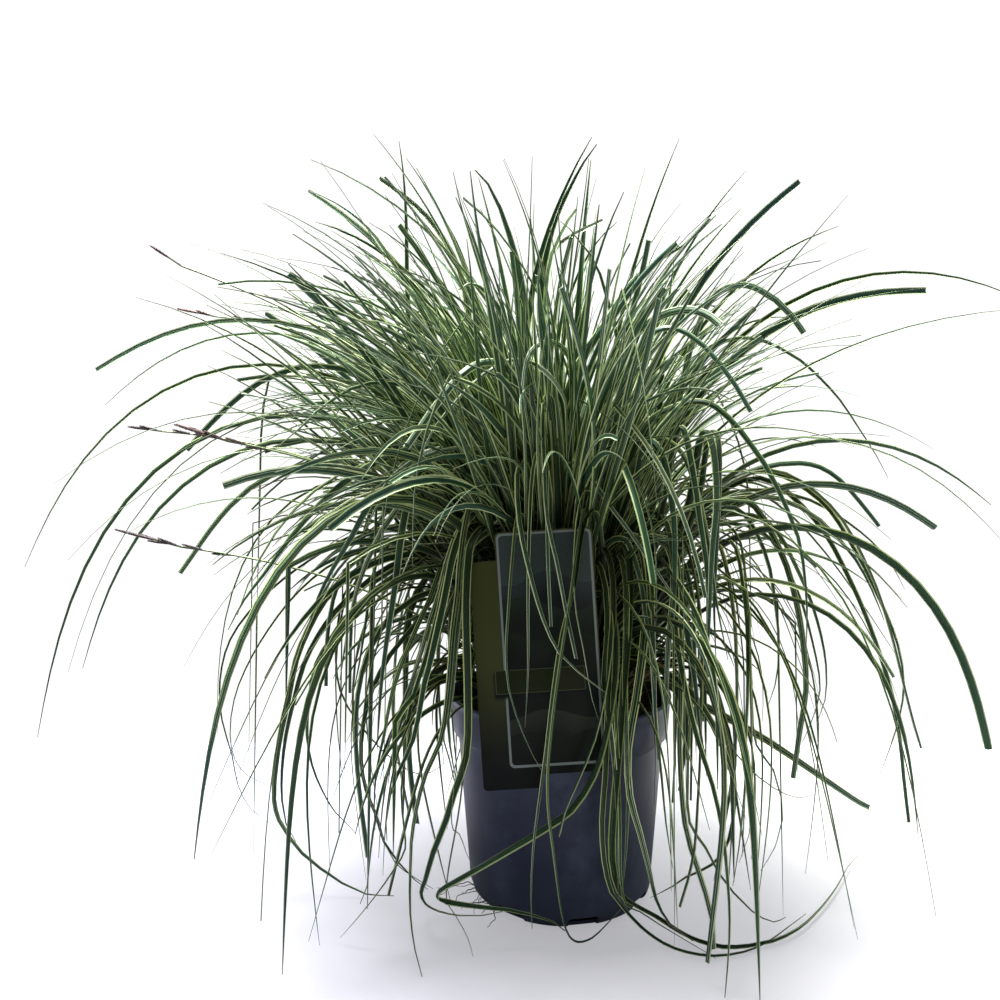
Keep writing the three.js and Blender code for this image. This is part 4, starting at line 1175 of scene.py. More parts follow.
# Leaves of the picture whose depth changes evenly from the first point to the tip. Each point is a column and
# a row in pixels.
ARCHED_LEAVES = {
    "top_upright": {"width": 5.6, "depth": (0, 20), "seen": [
        (470, 600), (450, 530), (432, 470), (420, 420), (414, 380), (409, 330), (407, 270), (406, 215),
        (403, 170), (399, 141)]},
    "top_left_cut": {"width": 5.2, "cut": True, "depth": (10, 40), "seen": [
        (492, 560), (484, 480), (480, 400), (474, 350), (468, 310), (460, 272), (444, 240), (426, 216),
        (406, 198), (379, 178)]},
    "top_left_thin": {"width": 3.8, "depth": (20, 50), "seen": [
        (498, 560), (490, 450), (480, 350), (471, 284), (456, 242), (444, 220), (432, 198), (420, 178),
        (406, 158)]},
    "top_left_broad": {"width": 6.4, "depth": (-10, 10), "seen": [
        (484, 560), (466, 470), (448, 400), (438, 350), (428, 322), (416, 300), (403, 280), (390, 258),
        (376, 238), (358, 219), (335, 203), (308, 190)]},
    "centre_broad": {"width": 8.6, "depth": (-20, -80), "seen": [
        (530, 560), (528, 450), (526, 360), (524, 300), (521, 282), (516, 258), (509, 234), (500, 208),
        (488, 184), (475, 170)]},
    "centre_bowed": {"width": 8, "depth": (-40, -110), "seen": [
        (530, 560), (526, 450), (522, 390), (516, 350), (507, 326), (496, 304), (480, 287), (468, 284),
        (458, 290)]},
    "centre_tall": {"width": 6, "depth": (5, 5), "seen": [
        (528, 560), (526, 440), (526, 336), (530, 310), (534, 282), (541, 254), (550, 226), (562, 196),
        (578, 162), (592, 137)]},
    "centre_tall_broad": {"width": 7.4, "depth": (0, 16), "seen": [
        (548, 560), (552, 450), (550, 380), (546, 342), (541, 320), (541, 290), (544, 266), (549, 242),
        (557, 216), (568, 192), (584, 162), (597, 144)]},
    "centre_cut": {"width": 5, "cut": True, "depth": (10, 30), "seen": [
        (546, 560), (544, 450), (542, 370), (544, 310), (548, 272), (552, 254), (560, 236), (568, 221),
        (577, 209)]},
    "centre_pale_cut": {"width": 4.4, "cut": True, "depth": (20, 30), "seen": [
        (552, 560), (546, 400), (545, 300), (548, 266), (556, 248), (566, 239), (576, 233), (588, 227),
        (603, 220)]},
    "centre_pale": {"width": 4.6, "depth": (20, 60), "seen": [
        (556, 560), (556, 400), (558, 340), (564, 312), (572, 290), (580, 270), (590, 252), (604, 234),
        (617, 222)]},
    "centre_leftwards": {"width": 4.6, "depth": (-10, -30), "seen": [
        (600, 560), (618, 460), (626, 390), (622, 365), (618, 340), (612, 316), (606, 294), (600, 274),
        (590, 254), (580, 242), (570, 229), (560, 221)]},
    "right_high_broad": {"width": 7.8, "depth": (-20, -90), "seen": [
        (548, 560), (554, 450), (564, 404), (570, 386), (578, 366), (590, 346), (608, 320), (626, 290),
        (640, 274), (660, 259), (682, 246), (700, 231), (716, 215)]},
    "right_bowed_cut": {"width": 7, "cut": True, "depth": (-40, -116), "seen": [
        (560, 560), (580, 460), (596, 410), (604, 386), (616, 360), (630, 340), (644, 326), (660, 316),
        (680, 310), (698, 311), (712, 318), (720, 325)]},
    "right_bowed_thin": {"width": 4.4, "cut": True, "depth": (-40, -120), "seen": [
        (590, 560), (606, 470), (616, 420), (622, 390), (630, 366), (640, 346), (656, 331), (672, 328),
        (688, 334), (704, 346), (720, 364), (736, 386), (751, 412)]},
    "front_bowed_small": {"width": 4.2, "cut": True, "depth": (-60, -136), "seen": [
        (560, 560), (570, 460), (574, 400), (572, 366), (564, 349), (552, 342), (540, 344), (530, 353),
        (525, 370), (523, 390), (524, 408)]},
    "front_bowed_left": {"width": 5.8, "cut": True, "depth": (-60, -150), "seen": [
        (530, 580), (530, 460), (522, 400), (512, 374), (500, 364), (488, 362), (476, 365), (460, 376),
        (440, 400), (420, 428), (406, 448)]},
    "front_bowed_left_thin": {"width": 3.6, "depth": (-60, -146), "seen": [
        (560, 560), (566, 440), (558, 390), (546, 371), (532, 363), (518, 360), (504, 362), (484, 374),
        (466, 390), (450, 408), (434, 428), (420, 460), (416, 480)]},
    "left_bowed_dark": {"width": 4.8, "depth": (-20, -110), "seen": [
        (480, 560), (462, 460), (444, 412), (426, 393), (410, 386), (390, 383), (370, 383), (350, 389),
        (332, 400), (316, 412), (300, 428), (276, 448)]},
    "right_erect": {"width": 6, "depth": (0, 10), "seen": [
        (620, 600), (648, 510), (658, 440), (660, 400), (662, 370), (665, 335), (668, 305), (671, 285),
        (674, 262)]},
    "right_erect_bowed": {"width": 6, "cut": True, "depth": (0, -30), "seen": [
        (620, 600), (655, 500), (672, 430), (680, 395), (690, 350), (698, 326), (706, 307), (718, 293),
        (730, 287), (746, 285), (760, 290), (776, 300), (792, 316), (804, 333)]},
    "right_long_thin": {"width": 3.4, "depth": (10, 0), "seen": [
        (630, 600), (668, 480), (684, 410), (700, 362), (716, 346), (732, 339), (748, 338), (764, 341),
        (780, 348), (800, 360), (820, 378), (840, 400), (860, 430), (876, 455), (888, 478)]},
    "right_long_dark": {"width": 4.8, "depth": (-40, -110), "seen": [
        (600, 600), (625, 480), (645, 426), (662, 412), (676, 406), (690, 402), (704, 402), (716, 407),
        (728, 417), (740, 430), (752, 446), (764, 463), (776, 485), (788, 511), (798, 537), (803, 562),
        (807, 610), (806, 650)]},
    "right_low_cut": {"width": 4.6, "cut": True, "depth": (0, -10), "seen": [
        (650, 600), (680, 560), (700, 516), (720, 489), (740, 475), (760, 468), (780, 464), (800, 463),
        (820, 467), (840, 480), (860, 502), (879, 526)]},
    "right_low_long": {"width": 4.6, "depth": (0, -20), "seen": [
        (650, 610), (690, 540), (712, 506), (728, 498), (746, 495), (760, 496), (780, 499), (800, 507),
        (820, 520), (838, 538), (856, 560), (872, 590), (884, 620)]},
    "right_low_thin": {"width": 3.2, "depth": (20, 20), "seen": [
        (650, 600), (696, 520), (714, 500), (732, 492), (750, 490), (770, 490), (790, 494), (810, 500),
        (830, 510), (850, 524), (870, 540), (890, 562), (905, 590)]},
    "right_fall_1": {"width": 5.4, "depth": (-40, -100), "seen": [
        (640, 600), (664, 500), (672, 450), (677, 432), (682, 428), (687, 440), (692, 466), (696, 490),
        (700, 520), (706, 560), (708, 600), (706, 680)]},
    "right_fall_2": {"width": 6, "depth": (-40, -104), "seen": [
        (650, 600), (690, 500), (698, 450), (703, 434), (708, 434), (713, 450), (716, 480), (716, 510),
        (713, 540), (711, 570), (709, 620), (706, 690)]},
    "right_fall_3": {"width": 5, "depth": (-30, -96), "seen": [
        (656, 600), (698, 500), (706, 450), (711, 433), (716, 434), (719, 450), (719, 480), (718, 510),
        (716, 560), (714, 600), (716, 660)]},
    "right_fall_4": {"width": 5.8, "depth": (-40, -100), "seen": [
        (620, 620), (632, 520), (638, 470), (643, 448), (649, 441), (656, 445), (664, 460), (670, 490),
        (674, 520), (675, 560), (673, 620), (668, 660)]},
    "right_fall_5": {"width": 4.4, "depth": (-36, -96), "seen": [
        (625, 620), (636, 500), (645, 452), (653, 441), (664, 439), (676, 446), (686, 460), (693, 478),
        (700, 500), (706, 528), (711, 560), (718, 610), (728, 660)]},
    "right_fall_6": {"width": 6.4, "depth": (-46, -112), "seen": [
        (584, 600), (604, 552), (620, 538), (634, 537), (644, 546), (649, 570), (651, 610), (653, 660),
        (655, 710), (658, 760)]},
    "right_fall_7": {"width": 6, "depth": (-40, -110), "seen": [
        (600, 600), (628, 552), (646, 538), (660, 539), (669, 548), (674, 568), (674, 592), (670, 625),
        (667, 670), (666, 740)]},
    "right_fall_8": {"width": 5.6, "depth": (-36, -110), "seen": [
        (610, 590), (640, 548), (656, 538), (668, 541), (676, 560), (678, 590), (684, 620), (690, 650),
        (696, 690), (700, 730), (708, 770)]},
    "right_fall_9": {"width": 4.8, "depth": (-56, -106), "seen": [
        (588, 620), (600, 556), (613, 540), (625, 540), (634, 558), (640, 578), (645, 612), (650, 646),
        (655, 690)]},
    "right_over": {"width": 3.4, "depth": (-60, -124), "seen": [
        (550, 560), (560, 480), (575, 462), (592, 480), (610, 506), (630, 532), (646, 556), (660, 576),
        (672, 594), (686, 616), (694, 640)]},
    "left_high_cut": {"width": 5.6, "cut": True, "depth": (0, -20), "seen": [
        (480, 560), (440, 480), (400, 420), (380, 394), (360, 377), (340, 368), (320, 366), (300, 367),
        (280, 373), (260, 382), (240, 396), (220, 414), (200, 435), (187, 450)]},
    "left_mid_cut": {"width": 4.8, "cut": True, "depth": (0, -40), "seen": [
        (470, 600), (430, 540), (400, 500), (380, 480), (352, 464), (330, 460), (300, 466), (270, 476),
        (250, 488), (230, 506), (210, 530), (192, 556), (180, 573)]},
    "left_striped": {"width": 6, "depth": (-30, -100), "seen": [
        (480, 600), (470, 500), (462, 466), (446, 450), (428, 446), (406, 450), (380, 460), (350, 478),
        (320, 504), (290, 538), (264, 574), (244, 600), (228, 630)]},
    "left_front_1": {"width": 6.6, "depth": (-30, -90), "seen": [
        (520, 600), (520, 500), (512, 466), (498, 455), (480, 451), (460, 449), (436, 451), (412, 460),
        (392, 476), (372, 500), (352, 536), (332, 570), (318, 598), (305, 640)]},
    "left_front_2": {"width": 6, "depth": (-30, -96), "seen": [
        (526, 600), (530, 510), (524, 474), (510, 464), (492, 462), (474, 464), (450, 470), (430, 480),
        (410, 496), (396, 510), (382, 530), (372, 550), (358, 586), (346, 640), (340, 680)]},
    "left_front_3": {"width": 6.2, "depth": (-30, -104), "seen": [
        (500, 620), (480, 540), (460, 500), (446, 480), (436, 471), (428, 468), (420, 471), (414, 482),
        (406, 510), (400, 546), (396, 580), (390, 620), (384, 660), (380, 700), (377, 750)]},
    "left_front_4": {"width": 5, "depth": (-40, -112), "seen": [
        (530, 600), (536, 510), (528, 488), (516, 478), (500, 481), (484, 494), (466, 516), (454, 540),
        (446, 564), (440, 590), (430, 620), (422, 650), (412, 680), (400, 710), (390, 740), (380, 780)]},
    "left_front_5": {"width": 6.2, "depth": (-46, -112), "seen": [
        (584, 590), (574, 528), (556, 518), (530, 517), (510, 520), (492, 527), (478, 538), (467, 552),
        (461, 576), (459, 610), (455, 650), (452, 690), (448, 720), (450, 745), (456, 780)]},
    "left_front_6": {"width": 5.4, "depth": (-50, -114), "seen": [
        (530, 600), (524, 530), (508, 520), (492, 526), (478, 548), (464, 572), (455, 594), (446, 614),
        (438, 636), (428, 656), (416, 678), (407, 700), (400, 726), (393, 752), (388, 784)]},
    "left_sweep_1": {"width": 5, "depth": (-10, -30), "seen": [
        (500, 590), (460, 555), (420, 548), (385, 556), (352, 574), (325, 600), (308, 630), (296, 660),
        (288, 700), (281, 732), (276, 765), (274, 800), (279, 820), (290, 838), (302, 853), (320, 868),
        (342, 883), (366, 894), (394, 900)]},
    "left_sweep_2": {"width": 4.8, "depth": (0, 20), "seen": [
        (500, 600), (465, 566), (425, 556), (390, 566), (360, 588), (335, 612), (318, 636), (304, 664),
        (294, 700), (286, 735), (282, 770), (282, 800), (286, 824), (296, 842)]},
    "left_sweep_3": {"width": 4, "depth": (-10, 10), "seen": [
        (500, 600), (470, 570), (430, 562), (395, 575), (368, 596), (345, 618), (330, 640), (316, 664),
        (309, 700), (307, 735), (312, 765), (322, 790), (335, 812), (350, 827), (356, 834)]},
    "left_curl_1": {"width": 2.4, "depth": (0, 40), "seen": [
        (480, 600), (440, 560), (390, 548), (340, 560), (300, 590), (268, 630), (245, 670), (234, 700),
        (230, 735), (235, 760), (248, 776), (265, 783), (282, 783)]},
    "left_curl_2": {"width": 2, "depth": (0, 60), "seen": [
        (480, 590), (430, 540), (370, 530), (310, 560), (260, 600), (230, 640), (220, 680), (222, 720),
        (232, 755), (238, 785), (250, 808), (273, 826)]},
    "left_round_dark": {"width": 4, "depth": (-20, -20), "seen": [
        (500, 600), (470, 580), (440, 590), (415, 625), (390, 655), (372, 690), (363, 725), (361, 760),
        (366, 790), (376, 815), (384, 842), (398, 862), (415, 880), (428, 892)]},
    "left_straight_fall": {"width": 3.2, "depth": (-10, -60), "seen": [
        (440, 600), (420, 550), (396, 540), (380, 555), (372, 580), (366, 620), (359, 665), (350, 708)]},
    "left_hair": {"width": 2, "depth": (10, 30), "seen": [
        (500, 600), (460, 560), (400, 550), (352, 580), (337, 630), (340, 690), (358, 722), (382, 750),
        (408, 770), (425, 774), (442, 765), (456, 748)]},
    "left_short_cut": {"width": 3.8, "cut": True, "depth": (-10, -40), "seen": [
        (470, 590), (430, 555), (380, 550), (346, 570), (333, 600), (327, 640), (326, 686)]},
    "left_hair_straight": {"width": 1.8, "depth": (0, 0), "seen": [
        (500, 600), (450, 550), (390, 550), (350, 590), (337, 650), (337, 720), (341, 765), (345, 799)]},
    "right_far_bent": {"width": 4.8, "depth": (0, 0), "seen": [
        (650, 600), (700, 500), (760, 470), (820, 500), (855, 550), (880, 600), (898, 645), (904, 685),
        (900, 715), (890, 748), (879, 777)]},
    "right_far_cut": {"width": 4.2, "cut": True, "depth": (20, 20), "seen": [
        (650, 600), (700, 510), (760, 478), (815, 520), (850, 580), (875, 640), (892, 695), (900, 740),
        (904, 780), (909, 823)]},
    "right_far_thin": {"width": 3, "cut": True, "depth": (-10, -10), "seen": [
        (640, 600), (700, 505), (770, 470), (830, 505), (870, 572), (890, 630), (905, 690), (914, 725),
        (921, 748)]},
    "right_arc_cut": {"width": 4.8, "cut": True, "depth": (-10, -40), "seen": [
        (650, 600), (700, 520), (745, 500), (780, 550), (796, 600), (804, 650), (806, 690), (800, 730),
        (793, 778)]},
    "right_arc_inner": {"width": 4.2, "depth": (-10, -40), "seen": [
        (640, 600), (690, 522), (735, 508), (764, 550), (776, 610), (779, 650), (775, 685), (768, 706)]},
    "right_arc_outer": {"width": 3.8, "depth": (0, -20), "seen": [
        (650, 600), (710, 520), (765, 520), (800, 575), (817, 620), (826, 665), (825, 700), (818, 720)]},
    "right_arc_pale": {"width": 2.8, "depth": (0, -20), "seen": [
        (640, 600), (700, 530), (760, 530), (795, 585), (812, 640), (820, 690), (812, 720), (801, 745)]},
    "heart_dark_arc": {"width": 4.4, "depth": (-50, -124), "seen": [
        (530, 580), (524, 500), (506, 462), (484, 449), (462, 447), (436, 452), (410, 462), (388, 480),
        (372, 506)]},
    "heart_right_arc": {"width": 4.2, "depth": (-50, -116), "seen": [
        (570, 580), (588, 510), (597, 469), (609, 436), (630, 412), (657, 396), (690, 388), (716, 392),
        (740, 404)]},
    "heart_left_arc": {"width": 3.6, "depth": (-50, -124), "seen": [
        (500, 580), (490, 510), (470, 478), (446, 466), (420, 470), (396, 484), (376, 508), (362, 536)]},
}
SEEN = {
    "seed": 31,
    "step": 15,  # length of a stretch between two sections of a blade
    "turn": 0.28,  # the most that it turns there, in radians
    "arched_width": 1.12,  # how much broader an arched leaf is than it looks in the picture
    "arched_facing": (0.8, 1),  # how much of its face is towards the front
    "hanging_facing": (0.05, 0.4),
    "roll": 25,
    "crown_share": 0.9,  # how far out in the crown an arched leaf may root
    "upright": 40,  # length over which it starts upright
    "start": 30,  # length over which a hanging leaf follows the arc of its root
}
FACED = 0.3  # share of the length where a leaf has turned to the front


def seen_at(column, row, depth):
    """The place that a point of the picture shows when its depth is known."""
    distance = (depth - CAMERA[1]) / FOCAL
    height = CAMERA[2] - (row - HORIZON) * distance
    return Vector((CAMERA[0] + (column - PICTURE / 2) * distance, depth, max(height, FLOOR_REST)))


def curve_through(points, step):
    """A smooth curve through points: a centripetal Catmull-Rom spline, with a section about every step."""
    points = [2 * points[0] - points[1]] + points + [2 * points[-1] - points[-2]]
    places = [points[1]]
    for before, start, end, after in zip(points, points[1:], points[2:], points[3:]):
        knots = [0.0]
        for a, b in ((before, start), (start, end), (end, after)):
            knots.append(knots[-1] + math.sqrt((b - a).length))
        turn = (start - before).angle(end - start, 0) + (end - start).angle(after - end, 0)
        count = max(1, round((end - start).length / step), math.ceil(turn / 2 / SEEN["turn"]))
        for i in range(1, count + 1):
            t = mix(knots[1], knots[2], i / count)

            def between_knots(a, b, low, high):
                return a.lerp(b, (t - knots[low]) / (knots[high] - knots[low]))

            first = between_knots(before, start, 0, 1)
            second = between_knots(start, end, 1, 2)
            third = between_knots(end, after, 2, 3)
            early = between_knots(first, second, 0, 2)
            late = between_knots(second, third, 1, 3)
            places.append(between_knots(early, late, 1, 2))
    return places


def arched_places(leaf):
    """A leaf from the crown, straight below its first point in the picture as far as the crown reaches."""
    depths = np.linspace(*leaf["depth"], len(leaf["seen"]))
    seen = [seen_at(*point, depth) for point, depth in zip(leaf["seen"], depths)]
    inwards = min(1, SEEN["crown_share"] * CROWN["radius"] / math.hypot(seen[0].x, seen[0].y))
    root = Vector((seen[0].x * inwards, seen[0].y * inwards, SOIL_SURFACE - LEAF["root_below"]))
    return curve_through([root, root + Vector((0, 0, SEEN["upright"]))] + seen, SEEN["step"])


def hanging_places(leaf):
    """A leaf from the place in the crown where it grows."""
    u, degrees = leaf["root"]
    roots = [Vector(point_at(u, math.radians(degrees), s)) for s in (-LEAF["root_below"], SEEN["start"])]
    return curve_through(roots + [seen_at(*point) for point in leaf["seen"]], SEEN["step"])


def broad_sides(places, shares, facing):
    """Side directions that turn along the leaf, until its face is towards the front as far as facing says."""
    heading = math.atan2(places[-1][1] - places[0][1], places[-1][0] - places[0][0])
    carried = carried_sides(places, heading)
    sides = [carried[0]]
    for share, along, side in zip(shares, directions(places), carried):
        turned = np.cross(along, (0, 1, 0))
        if turned.dot(sides[-1]) < 0:
            turned = -turned
        sides.append(side + (turned - side) * facing * smooth(clamp(share / FACED)))
    return sides[1:]


def make_seen_leaves(materials):
    draw = seeded_random(SEEN["seed"])
    skin = Skin()
    for leaf in list(SEEN_LEAVES.values()) + list(ARCHED_LEAVES.values()):
        arched = "depth" in leaf
        places = arched_places(leaf) if arched else hanging_places(leaf)
        places = [(x, y, max(z, FLOOR_REST)) for x, y, z in places]
        lengths = np.cumsum([0] + [math.dist(a, b) for a, b in zip(places, places[1:])])
        shares = lengths / lengths[-1]
        facing = between(draw, *SEEN["arched_facing" if arched else "hanging_facing"])
        sides = broad_sides(places, shares, leaf.get("facing", facing))
        roll = math.radians(between(draw, -SEEN["roll"], SEEN["roll"]))
        width = leaf["width"] * (SEEN["arched_width"] if arched else 1)
        add_blade(skin, shares, places, sides, width, roll, leaf.get("cut", False), draw())
    skin.make("hanging_leaves", materials)


# ---- Leaf materials ----

GREEN = {
    # The darkest green is painted shade, laid on the lower parts of the leaves.
    "painted_shade": (0.004, 0.012, 0.003, 1),
    "deep": (0.008, 0.03, 0.004, 1),
    "leaf": (0.02, 0.068, 0.03, 1),
    "blue": (0.036, 0.09, 0.076, 1),
    "fresh": (0.036, 0.095, 0.012, 1),
    "olive": (0.052, 0.085, 0.01, 1),
    "light": (0.058, 0.14, 0.064, 1),
    "sage": (0.074, 0.13, 0.088, 1),
    "under": (0.04, 0.085, 0.045, 1),
    "cream": (0.88, 0.95, 0.66, 1),
    "yellow": (0.86, 0.94, 0.34, 1),
    "lime": (0.3, 0.46, 0.1, 1),
    "straw": (0.36, 0.26, 0.13, 1),
    "brown": (0.09, 0.052, 0.026, 1),
    "pale": (0.26, 0.3, 0.12, 1),
}


# Leaves differ by numbers from 0 to 1 that belong to their chance value: one for each of these turns.
LEAF_TURNS = {"blue": 1, "olive": 2, "margin": 3, "lime": 4, "streak": 5, "withered": 6, "deep": 7}
MARGIN = {"narrowest": 0.17, "spread": 0.15, "wander": 0.3, "edge": 0.05}
STREAK = {"place": 0.62, "half": 0.14, "edge": 0.06, "plain": 0.6, "widths": (1.4, 1.8), "strength": 0.75}


def leaf_margin(shader, inwards, half, drift, number):
    """1 in the margin, whose edge wanders along the leaf. The margin fades towards the root: partly the
    base's own plainer colour, partly painted shade.
    """
    wander = shader.math("MULTIPLY_ADD", drift, MARGIN["wander"], -MARGIN["wander"] / 2)
    width_part = shader.math("MULTIPLY_ADD", number, MARGIN["spread"], MARGIN["narrowest"])
    width = shader.math("MULTIPLY", width_part, half)
    past = shader.math("SUBTRACT", shader.math("ADD", inwards, wander), width)
    margin = shader.step(past, -MARGIN["edge"], MARGIN["edge"], 1.0, 0.0)
    return shader.math("MULTIPLY", margin, shader.step(shader.value("share"), 0.04, 0.3, 0.15, 1.0))


def leaf_streak(shader, inwards, half, number):
    """A light streak inside each half of some broad leaves."""
    middle = shader.math("MULTIPLY", half, STREAK["place"])
    away = shader.math("ABSOLUTE", shader.math("SUBTRACT", inwards, middle))
    low, high = STREAK["half"] - STREAK["edge"], STREAK["half"] + STREAK["edge"]
    chosen = shader.step(number, STREAK["plain"], STREAK["plain"] + 0.02, 0.0, STREAK["strength"])
    streaked = shader.math("MULTIPLY", chosen, shader.step(half, *STREAK["widths"]))
    return shader.math("MULTIPLY", shader.step(away, low, high, 1.0, 0.0), streaked)


def leaf_green(shader, upper, number):
    """The green of a leaf by its width and its numbers: darker and fresher low down, lighter above. The
    darker greens low down are painted shade, and the lighter ones above are painted light.
    """
    size = shader.step(shader.value("size"), 0.25, 0.8)
    narrow = shader.blend(number["olive"], GREEN["fresh"], GREEN["olive"])
    narrow = shader.blend(number["deep"], narrow, GREEN["deep"])
    low = shader.blend(size, narrow, GREEN["deep"])
    narrow = shader.blend(number["olive"], GREEN["light"], GREEN["sage"])
    narrow = shader.blend(number["deep"], narrow, GREEN["leaf"])
    high = shader.blend(size, narrow, shader.blend(number["blue"], GREEN["leaf"], GREEN["blue"]))
    return shader.blend(upper, low, high)


def leaf_material():
    """Dark green with thin cream margins, fine veins along the blade, a pale base and sometimes a dry tip,
    with painted shade darkening the lower part of the blade and painted light on its upper part.
    """
    shader = Shader("sedge_leaf", {"Roughness": 0.42, "Specular IOR Level": 0.22})
    around, along = shader.uv()
    chance = shader.value("chance")
    number = {name: shader.chance(chance, turn) for name, turn in LEAF_TURNS.items()}
    share = shader.value("share")
    half = shader.value("half")
    own = shader.math("MULTIPLY", chance, 80.0)
    drift = shader.noise(shader.combine(own, shader.math("MULTIPLY", along, 16.0)), 1.0)
    across = shader.math("PINGPONG", around, 1.0)
    edge = shader.math("ABSOLUTE", shader.math("MULTIPLY_ADD", across, 2.0, -1.0))
    inwards = shader.math("MULTIPLY", shader.math("SUBTRACT", 1.0, edge), half)
    margin = leaf_margin(shader, inwards, half, drift, number["margin"])
    light_parts = shader.math("MAXIMUM", margin, leaf_streak(shader, inwards, half, number["streak"]))
    fibres = shader.math("MULTIPLY", shader.value("size"), 16.0)
    fibre_across = shader.math("MULTIPLY_ADD", across, fibres, own)
    fibre_at = shader.combine(fibre_across, shader.math("MULTIPLY", along, 9.0))
    fibre = shader.noise(fibre_at, 1.0, detail=2)
    # How far up the blade a point is: it turns the green from painted shade to painted light, and the margins
    # from yellow to cream.
    upper = shader.step(share, 0.4, 1.0)
    green = leaf_green(shader, upper, number)
    green = shader.blend(shader.step(fibre, 0.5, 0.8, 0.0, 0.2), green, GREEN["lime"])
    cream = shader.blend(upper, GREEN["yellow"], GREEN["cream"])
    cream = shader.blend(shader.math("MULTIPLY", number["lime"], 0.7), cream, GREEN["lime"])
    striped = shader.blend(light_parts, green, cream)
    underside = shader.step(around, 0.99, 1.01, 0.0, 0.3)
    striped = shader.blend(underside, striped, GREEN["under"])
    # Painted shade: most of the blade darkens towards the root, as if deep inside the clump.
    with_painted_shade = shader.blend(shader.step(share, 0.14, 0.74, 0.97, 0.0), striped, GREEN["painted_shade"])
    rooted = shader.blend(shader.step(share, 0.0, 0.06, 0.6, 0.0), with_painted_shade, GREEN["pale"])
    dead = shader.blend(shader.noise(fibre_at, 0.6), GREEN["straw"], GREEN["brown"])
    end = shader.math("ADD", share, shader.math("MULTIPLY", drift, 0.01))
    withered = shader.math("MULTIPLY", shader.step(end, 0.95, 1.01, 0.0, 0.7), number["withered"])
    pointed = shader.step(shader.value("blunt"), 0.0, 1.0, 1.0, 0.0)
    dry = shader.math("MAXIMUM", shader.math("MULTIPLY", withered, pointed), shader.value("dry"))
    shader.feed(shader.surface.inputs["Base Color"], shader.blend(dry, rooted, dead))
    shader.feed(shader.surface.inputs["Roughness"], shader.math("MULTIPLY_ADD", fibre, 0.2, 0.34))
    shader.bump(fibre, 0.18, 0.0004)
    return shader.owner


def sheath_material():
    shader = Shader("leaf_sheath", {"Roughness": 0.6})
    around, along = shader.uv()
    chance = shader.value("chance")
    own = shader.math("MULTIPLY", chance, 60.0)
    fibre_across = shader.math("MULTIPLY_ADD", around, 22.0, own)
    fibre_at = shader.combine(fibre_across, shader.math("MULTIPLY", along, 2.0))
    fibre = shader.noise(fibre_at, 1.0, detail=3)
    live = shader.blend(fibre, GREEN["pale"], GREEN["fresh"])
    dead = shader.blend(fibre, GREEN["straw"], GREEN["brown"])
    shader.feed(shader.surface.inputs["Base Color"], shader.blend(shader.value("dry"), live, dead))
    shader.bump(fibre, 0.4, 0.0006)
    return shader.owner


# ---- Pot ----

POT = {
    "height": 167,
    "base_radius": 77,
    "body_top_radius": 88.5,
    "collar_radius": 92.3,
    "rim_radius": 95,
    "collar_height": 32,
    "wall": 1.6,
    "floor": 2.5,
    "corner_radius": 8,
    "sides": 128,
}
DRAIN = {
    "holes": 6,
    "hole_radius": 4.5,
    "hole_cut": 6,  # how far a hole's cutter reaches above and below the base
    "hole_sides": 24,
    "ring_radius": 46,
    "notches": 8,
    "notch_width": 24,
    "notch_height": 9.5,
    "notch_depth": 16,
    "notch_round": 2.5,
    "first_notch": -80,
}


# How far points lie outside and above the place that they belong to: the step from the body to the collar's
# foot, and the rolled rim.
BODY_END = ((0, -3), (0.5, -1.9))
COLLAR_START = ((-0.9, -0.6), (0, 0.4))
ROLLED_RIM = ((-0.4, -3.6), (0.35, -2.9), (0.6, -1.4), (0.3, -0.4), (-0.4, 0))
COLLAR_FOOT = POT["height"] - POT["collar_height"]


def pot_outside(z):
    if z < COLLAR_FOOT:
        return mix(POT["base_radius"], POT["body_top_radius"], z / COLLAR_FOOT)
    return mix(POT["collar_radius"], POT["rim_radius"], (z - COLLAR_FOOT) / POT["collar_height"])


def pot_profile():
    """Radius and height from the middle of the base up the outside, over the rim and down the inside."""
    corner = POT["corner_radius"]
    wall = POT["wall"]
    profile = []
    for degrees in range(0, 91, 10):
        turn = math.radians(degrees)
        radius = mix(pot_outside(0), pot_outside(corner), 1 - math.cos(turn)) - corner * (1 - math.sin(turn))
        profile.append((radius, corner * (1 - math.cos(turn))))
    profile += [(pot_outside(z), z) for z in range(20, int(COLLAR_FOOT) - 4, 10)]
    profile += [(POT["body_top_radius"] + out, COLLAR_FOOT + up) for out, up in BODY_END]
    profile += [(POT["collar_radius"] + out, COLLAR_FOOT + up) for out, up in COLLAR_START]
    profile += [(pot_outside(z), z) for z in (COLLAR_FOOT + 8, COLLAR_FOOT + 16, COLLAR_FOOT + 24)]
    profile += [(POT["rim_radius"] + out, POT["height"] + up) for out, up in ROLLED_RIM]
    profile += [
        (POT["rim_radius"] - wall, POT["height"] - 0.2),
        (POT["rim_radius"] - wall - 0.4, POT["height"] - 1),
        (POT["collar_radius"] - wall, COLLAR_FOOT + 2),
        (POT["body_top_radius"] - wall, COLLAR_FOOT),
        (pot_outside(corner) - wall, corner),
        (pot_outside(0) - corner, POT["floor"]),
    ]
    return profile


def turned_rings(profile, sides):
    angles = np.linspace(0, 2 * math.pi, sides, endpoint=False)
    return [[(radius * math.cos(a), radius * math.sin(a), z) for a in angles] for radius, z in profile]


def cut_away(piece, cutter):
    """Takes the cutter's shape out of the piece, and removes the cutter."""
    modifier = piece.modifiers.new("cut", "BOOLEAN")
    modifier.operation = "DIFFERENCE"
    modifier.solver = "EXACT"
    modifier.object = cutter
    bpy.context.view_layer.update()
    cut = piece.evaluated_get(bpy.context.evaluated_depsgraph_get())
    mesh = bpy.data.meshes.new_from_object(cut)
    piece.modifiers.clear()
    piece.data = mesh
    bpy.data.objects.remove(cutter)


